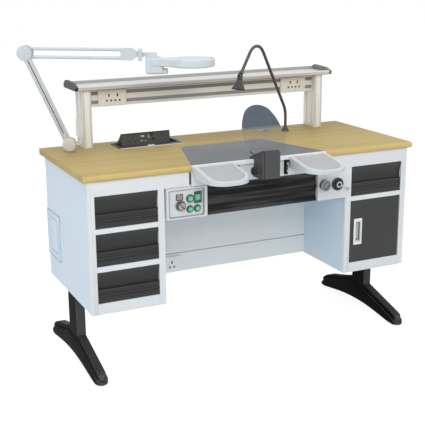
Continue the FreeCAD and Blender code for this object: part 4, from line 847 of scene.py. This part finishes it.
new_piece("speed_cap", knob_face, "speed_knob", 0.1,
          (faced, -592.0, speed, [(0, 0), (13.0, 0), (12.2, 0.5), (0, 0.6)], 56),
          (block, (-0.7, 0.7), (-596.9, -596.4), (1.5, 13.0), ridge_turn))
for number, (middle, r) in enumerate(buttons, 1):
    body = "button_%d" % number
    glow = lit_plastic(body + "_green", (0.045, 0.36, 0.16), (0.16, 0.62, 0.34),
                       in_plane(ACROSS_Y, -583, middle), r)
    dress(glow, 0.4, "push_" + body)
    dome = [(0, 0.9), (r * 0.35, 0.8), (r * 0.62, 0.35), (r * 0.72, -0.2), (0, -0.2)]
    new_piece(body + "_lens", glow, body, 0.1, (faced, -582.9, middle, dome, 40))
    collar = [(r - 2.6, 0), (r - 2.4, 0.7), (r - 0.4, 0.6), (r + 0.1, -0.2)]
    new_piece(body + "_collar", dark_bezel, body, 0.1, (faced, -582.6, middle, collar, 48))
rocker_green = lit_plastic("rocker_green", (0.050, 0.38, 0.17), (0.15, 0.58, 0.32),
                           in_plane(ACROSS_Y, -580, rocker), 20)
dress(rocker_green, 0.5, "power_rocker")
new_piece("rocker_ribs", rocker_green, "rocker", 0.2,
          *[(block, (-272, -256), (-580.6, -579.0), (z - 0.45, z + 0.45))
            for z in (-129.6, -127.4, -113.6, -111.4)])
new_piece("rocker_edge", dark_bezel, "rocker", 0.2,
          (flat_ring, ACROSS_Y, -580.7, (-276.0, -137.0), (-252.0, -104.0), 1.5, 2.6, -0.7, rocker),
          *[(block, (-275.4, -252.6), (-581.4, -580.7), z) for z in ((-136.8, -132.4), (-108.6, -104.2))])


# The air gauge is a dark steel case with a grey bezel, a grey dial with white ticks, plain numbers
# and a white needle, and a flat glass. The valve is a black turned body with a polished lever.
def clear_glass(name, colour, scale, rough, index):
    # glass whose surface is a little uneven
    material, tree = new_material(name)
    film = span(tree, noise(tree, scale), 0.3, 0.7, *rough)
    surface(tree, (*colour, 1), film, Transmission_Weight=1.0, IOR=index)
    return material


gauge, valve = (287, -137), (346, -138)
polished = brushed_metal("polished_steel", (0.50, 0.50, 0.51), (200, 200, 200), 0.26, 0.12, 0.8, 0.03)
dress(polished, 0.6, "air_valve_lever")
case_steel = brushed_metal("gauge_case", (0.070, 0.072, 0.076), (120, 120, 120), 0.34, 0.12, 0.3, 0.03)
dress(case_steel, 0.6, "pressure_gauge")
dial_grey = plastic("gauge_dial", (0.13, 0.135, 0.14), (900, 900, 900), rough=0.45, fade=0.0)
dial_white = plastic("dial_white", (0.85, 0.85, 0.84), rough=0.4, fade=0.0)
clear = clear_glass("gauge_glass", (0.96, 0.98, 0.98), 40.0, (0.02, 0.06), 1.45)
new_piece("gauge_dial", dial_grey, "bench", 0.05,
          (faced, -588.4, gauge, [(0, 0.3), (15.6, 0.3), (15.6, -0.5), (0, -0.5)], 56))
new_piece("gauge_rim", line_grey, "bench", 0.2,
          (faced, -588.4, gauge, [(17.6, -2.2), (22.6, -2.2), (22.9, -0.4), (21.6, 1.8), (18.2, 2.2)], 64))
mark_tip = 14.6
marks = [(mark_tip - (3.2 if step % 3 == 0 else 1.8), spun_at(gauge, -135 + 10 * step)) for step in range(28)]
new_piece("gauge_marks", dial_white, "bench", 0.05,
          *[(block, (-0.25, 0.25), (-588.95, -588.6), (start, mark_tip), turn) for start, turn in marks],
          (block, (-0.9, 0.9), (-589.9, -589.3), (-5, 12.5), spun_at(gauge, 40)),
          (faced, -589.2, gauge, [(0, 1.3), (1.9, 1.3), (2.6, 0), (0, 0)], 20))
number_ring = 8.8
for number in range(5):
    angle = radians(-135 + 67.5 * number)
    text = bpy.data.curves.new("dial_%d" % number, "FONT")
    text.body = str(2 * number)
    text.size = 0.0036
    text.extrude = 0.00008
    text.align_x = text.align_y = "CENTER"
    text.materials.append(dial_white)
    figure = new_object("gauge_number_%d" % number, text)
    figure.location = at(gauge[0] + number_ring * sin(angle), -588.9,
                         gauge[1] + number_ring * cos(angle))
    figure.rotation_euler = (radians(90), 0, 0)
    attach(figure, "bench")
new_piece("gauge_glass", clear, "bench", 0.05,
          (faced, -590.6, gauge, [(0, 0.5), (12, 0.4), (17.6, 0), (17.6, -0.4), (0, -0.4)], 48))
seat = [(13.4, -0.4), (24.2, -0.4), (22.4, 1.4), (19.5, 1.8), (18.6, 3.6), (13.4, 3.8)]
new_piece("valve_collar", deep_black, "bench", 0.3, (faced, -584.0, valve, seat, 56))
new_piece("valve_flange", screw_zinc, "bench", 0.2,
          (faced, -574.0, valve, [(26.2, 0), (27.6, 0), (27.4, 2.4), (26.2, 3.0)], 64))
new_piece("valve_hub", deep_black, "valve_lever", 0.3,
          (faced, -594.5, valve, [(0, 1.6), (5.0, 1.6), (6.4, 0.6), (6.4, -0.2), (0, -0.2)], 36))
sleeve = [(0, -2), (3.5, -1), (4.6, 4), (5.3, 9), (4.8, 13.5), (0, 15.5)]
new_piece("valve_tip", line_grey, "valve_lever", 0.2,
          (turned, (valve[0] + 34, -589.5, valve[1] - 16.6), (45, 0, -22), sleeve, 28))


# The pop-up outlet box is black moulded plastic in a frame let flush into the top. Its face plate is nearly
# black and carries a three-pin outlet at each end and data ports between them. A bright trim runs along
# the front.
popup_black = plastic("popup_black", (0.034, 0.033, 0.032), rough=0.46, fade=0.10, Specular_IOR_Level=0.25)
dress(popup_black, 0.8, "popup_frame", "popup_box")
face_black = plastic("popup_face", (0.056, 0.056, 0.050), rough=0.46, fade=0.1, Specular_IOR_Level=0.3)
port_silver = brushed_metal("port_shell", (0.55, 0.55, 0.54), (150, 150, 150), 0.28, 0.1, 0.8, 0.03)
hinge_line = Matrix.Translation((0, -66, -3))
opened = hinge_line @ Matrix.Rotation(radians(-43), 4, "X") @ hinge_line.inverted()
down = Vector((0, 26.4, -46.0)).normalized()
outward = Vector((0, down.z, -down.y))
tip = Vector((0, -133, 2))
on_face = opened @ Matrix(((1, 0, 0, 0), (0, down.y, outward.y, tip.y), (0, down.z, outward.z, tip.z),
                           (0, 0, 0, 1)))
outlets, skin, sunk = (-344, -213), 0.9, (0.6, 1.0)
new_piece("popup_face_plate", face_black, "popup_sockets", 0.4,
          (flat_plate, ACROSS_Z, 0, (-388, 3), (-182, 50), 3, skin),
          *[(flat_ring, ACROSS_Z, skin, (x - 21, 6), (x + 21, 47), 6, 2.4, 1.1) for x in outlets], turn=on_face)
new_piece("popup_holes", deep_black, "popup_sockets", 0.2,
          *[(outlet, x, 2.2, ((12.5, 22.5), sunk), 10, 3.6, ((30, 35), sunk)) for x in outlets],
          (flat_plate, ACROSS_Z, skin, (-265, 3), (-252, 14), 2, 1.6),
          (flat_plate, ACROSS_Z, skin, (-260, 22), (-247, 33), 2, 1.6), turn=on_face)
ports = (((-306, 10), (-292, 15.5)), ((-310, 30), (-298, 32.5)), ((-291, 31), (-284, 33)),
         ((-274, 9), (-271, 22)))
new_piece("popup_ports", port_silver, "popup_sockets", 0.2,
          *[(flat_plate, ACROSS_Z, skin, low, high, 0.8, 0.7) for low, high in ports], turn=on_face)
new_piece("popup_trim", shelf_silver, "bench", 0.3,
          (block, (-416, -144), (-175.3, -173.2), (0.2, 3.5)),
          (block, (-410, -404), (-140, -138.5), (3.0, 3.6)))


# The cable grommet is a pale moulded ring pressed into the top, with a slot through its lid. Black bristles
# set in the slot close it round the cables.
grommet_grey = plastic("grommet_grey", (0.36, 0.43, 0.44), rough=0.4, fade=0.05)
dress(grommet_grey, 0.8, "cable_grommet")
bristles = [(281 + step * 1.2, -83.0 + 0.5 * (step % 2), -69.0 - 0.5 * (step % 3)) for step in range(20)]
new_piece("grommet_brush", deep_black, "bench", 0.05,
          *[(block, (x - 0.35, x + 0.35), (near, far), (3.1, 3.7)) for x, near, far in bristles],
          (block, (279.5, 306), (-83.4, -68.6), (2.6, 3.3)))


# The bench light stands on a turned foot. Its neck is a coiled steel hose with a dark rubber skin, and its
# small black shade tilts in a fork over a frosted lamp glass.
hose_black = plastic("hose_brown_black", (0.040, 0.036, 0.032), (900, 900, 900), rough=0.34, fade=0.35)
coat(hose_black, "gooseneck_stand")
dress(hose_black, 0.6, "gooseneck_head")
stand_place = Matrix.Translation((367, -117, 0)) @ Matrix.Rotation(radians(210), 4, "Z")
route = [Vector((0, 0, 14))]
stops = [Vector((0, 0, 92)), Vector((235, 0, 425)), Vector((353, 0, 287))]
for corner, following, radius in ((stops[0], stops[1], 90.0), (stops[1], stops[2], 64.0)):
    before = (route[-1] - corner).normalized()
    after = (following - corner).normalized()
    half = before.angle(after) / 2
    hub = corner + (before + after).normalized() * (radius / sin(half))
    begin = (corner + before * (radius / tan(half)) - hub).normalized()
    sweep = copysign(pi - 2 * half, begin.cross(-before).y)
    pieces = 26
    route += [hub + Matrix.Rotation(sweep * step / pieces, 3, "Y") @ begin * radius
              for step in range(pieces + 1)]
route.append(stops[-1])
lengths = [0.0]
for one, other in zip(route, route[1:]):
    lengths.append(lengths[-1] + (other - one).length)


def coiled(mesh, coil_pitch=4.2, profile=(6.45, 6.45, 5.7), sides=14):
    # a hose along the route, with a groove between its coils
    total = int(lengths[-1] / (coil_pitch / len(profile)))
    over = Vector((0, 1, 0))
    index = 0
    rings = []
    for step in range(total + 1):
        along = lengths[-1] * step / total
        while index < len(lengths) - 2 and lengths[index + 1] < along:
            index += 1
        share = (along - lengths[index]) / (lengths[index + 1] - lengths[index])
        spot = route[index].lerp(route[index + 1], share)
        outer = (route[index + 1] - route[index]).normalized().cross(over)
        radius = profile[step % len(profile)]
        rings.append([mesh.verts.new(spot + (over * cos(a) + outer * sin(a)) * radius)
                      for a in [tau * corner / sides for corner in range(sides)]])
    for low, high in zip(rings, rings[1:]):
        bridge(mesh, low, high)


hose = new_piece("neck_coils", hose_black, "bench", 0.1, (coiled,), turn=stand_place)
hose.modifiers.clear()
frosted, tree = new_material("frosted_glass")
milk = ramp(tree, noise(tree, 500.0), [(0.3, (0.80, 0.80, 0.76)), (0.7, (0.90, 0.90, 0.87))])
surface(tree, milk, 0.35, Emission_Color=(1.0, 0.97, 0.90, 1), Emission_Strength=0.12)
aim = Vector((0.25, 0, -1)).normalized()
shade_top = stops[2] + (stops[2] - stops[1]).normalized() * 12 + aim * 11
new_piece("bench_lamp_glass", frosted, "gooseneck_lamp_head", 0.1,
          (turned, shade_top + aim * 20, aim, [(0, 12), (8, 10.5), (13, 6), (15.5, 0), (0, 0)], 36),
          turn=stand_place)
shade_edge = [(26.4, 1.4), (26.4, -0.6), (27.6, -1.2), (28.2, 0.4), (27.6, 1.6)]
new_piece("shade_rings", deep_black, "gooseneck_lamp_head", 0.1,
          (turned, shade_top + aim * 43.4, aim, shade_edge, 48),
          (turned, shade_top + aim * 3, aim, [(11.0, 0), (11.7, 0.4), (11.7, 1.8), (11.0, 2.2)], 40),
          turn=stand_place)


# The magnifier lamp has painted steel arms between moulded knuckles. The lower arm is two bars with a dark
# strip behind their gap as painted shade, the upper arm is two tubes, and round caps cover the knuckles' pins.
lamp_paint = powder_coated("lamp_paint", (0.61, 0.67, 0.71), (0.84, 0.87, 0.89), rough=0.30, soil=0.03,
                           bump=0.02)
turret_paint = powder_coated("turret_paint", (0.68, 0.66, 0.61), (0.80, 0.78, 0.74), rough=0.32, soil=0.03,
                             bump=0.02)
arm_paint = powder_coated("arm_paint", (0.64, 0.66, 0.67), (0.74, 0.76, 0.77), rough=0.32, soil=0.03, bump=0.02)
coat(plastic("pin_grey", (0.30, 0.28, 0.25), rough=0.4, fade=0.1), "magnifier_base")
dress(turret_paint, 0.8, "magnifier_turret")
dress(lamp_paint, 0.8, "arm_elbow", "arm_fork", "arm_wing_knob")
dress(arm_paint, 1.2, "lower_arm_bar_a", "lower_arm_bar_b")
dress(lamp_paint, 0.6, "upper_arm_tube_a", "upper_arm_tube_b")
lamp_place = Matrix.Translation((-608, -125, 0)) @ Matrix.Rotation(radians(-29.6), 4, "Z")
shoulder, lower_arm, lean = 31, 388, radians(24)
elbow = (-lower_arm * sin(lean), shoulder + lower_arm * cos(lean))
leaned = Matrix.Translation((0, 0, shoulder)) @ Matrix.Rotation(-lean, 4, "Y")
# a dark strip behind the bars' gap: painted shade
new_piece("arm_gap_shade_strip", deep_black, "lower_bar_a", 0.2,
          (block, (-3.4, 3.4), (-1.9, -0.9), (48, 354), leaned), turn=lamp_place)
for name, body, middle, r, paint in (("turret_cap", "lamp_turret", (0, shoulder), 26.0, turret_paint),
                                     ("elbow_cap", "elbow", elbow, 29.0, lamp_paint)):
    cover = [(0, 2.6), (r * 0.55, 2.3), (r * 0.84, 1.4), (r * 0.90, 0.7), (r * 0.93, 1.0), (r * 0.985, 0.5),
             (r * 0.99, -0.6), (0, -0.6)]
    new_piece(name, paint, body, 0.1, (faced, -18, middle, cover, 56), turn=lamp_place)
new_piece("fork_screws", screw_zinc, "fork", 0.1,
          *[(pan_head, (225.0, -12.4, elbow[1] + lift), TO_FRONT, 3.4, 1.4) for lift in (12, -20)],
          turn=lamp_place)


# The magnifier's head is one moulded paddle round a glass lens, with a rounded ballast case at its root. A
# domed lid closes over the lens, a frosted light ring lies under its rim, and the small switch is dark.
def head_piece(name, material, edge, *shapes, segments=2):
    return new_piece(name, material, "lamp_head", edge, *shapes, turn=lamp_place, segments=segments)


head_paint = powder_coated("head_paint", (0.68, 0.72, 0.765), (0.88, 0.90, 0.92), rough=0.34, soil=0.02,
                           bump=0.01)
dress(head_paint, 1.0, "magnifier_head")
coat(clear_glass("lens_glass", (0.93, 0.97, 0.98), 12.0, (0.01, 0.04), 1.5), "magnifier_lens")
ring_hub = Vector((488, 0, 350.96))
holder = [(60.5, 8.2), (63.5, 15.1), (66.5, 15.4), (66.5, 14.6), (62.2, 7.0)]
head_piece("lens_ring", head_paint, 0.1, (turned, ring_hub, UP, holder, 72))
lid = [(0, 3.4), (28, 3.2), (48, 2.6), (62, 1.7), (72, 0.8), (77, 0.2), (77, -0.6), (66.6, -0.6), (66.6, 0.2),
       (0, 1.6)]
head_piece("lens_lid", head_paint, 0.1, (turned, ring_hub + Vector((0, 0, 15)), UP, lid, 72))
head_piece("case_cowl", head_paint, 11.0, (block, (308.2, 377), (-14.5, 27), (304.5, 368.5)), segments=6)
thumb = [(0, 0), (11, 0), (11, 17), (9.6, 20), (6, 21.6), (0, 22)]
head_piece("dimmer_knob", head_paint, 0.3, (turned, (372, 6, 316.5), (1, 0, 0), thumb, 40))
light = [(64.5, 14.2), (66, 16.0), (78, 16.0), (79.5, 14.2)]
head_piece("light_ring", frosted, 0.2, (turned, ring_hub, (0, 0, -1), light, 72))
button = [(0, 1.2), (3.2, 1.0), (4.0, 0), (0, 0)]
head_piece("lamp_button", deep_black, 0.1, (turned, ring_hub + Vector((74, 0, 17.9)), UP, button, 24))
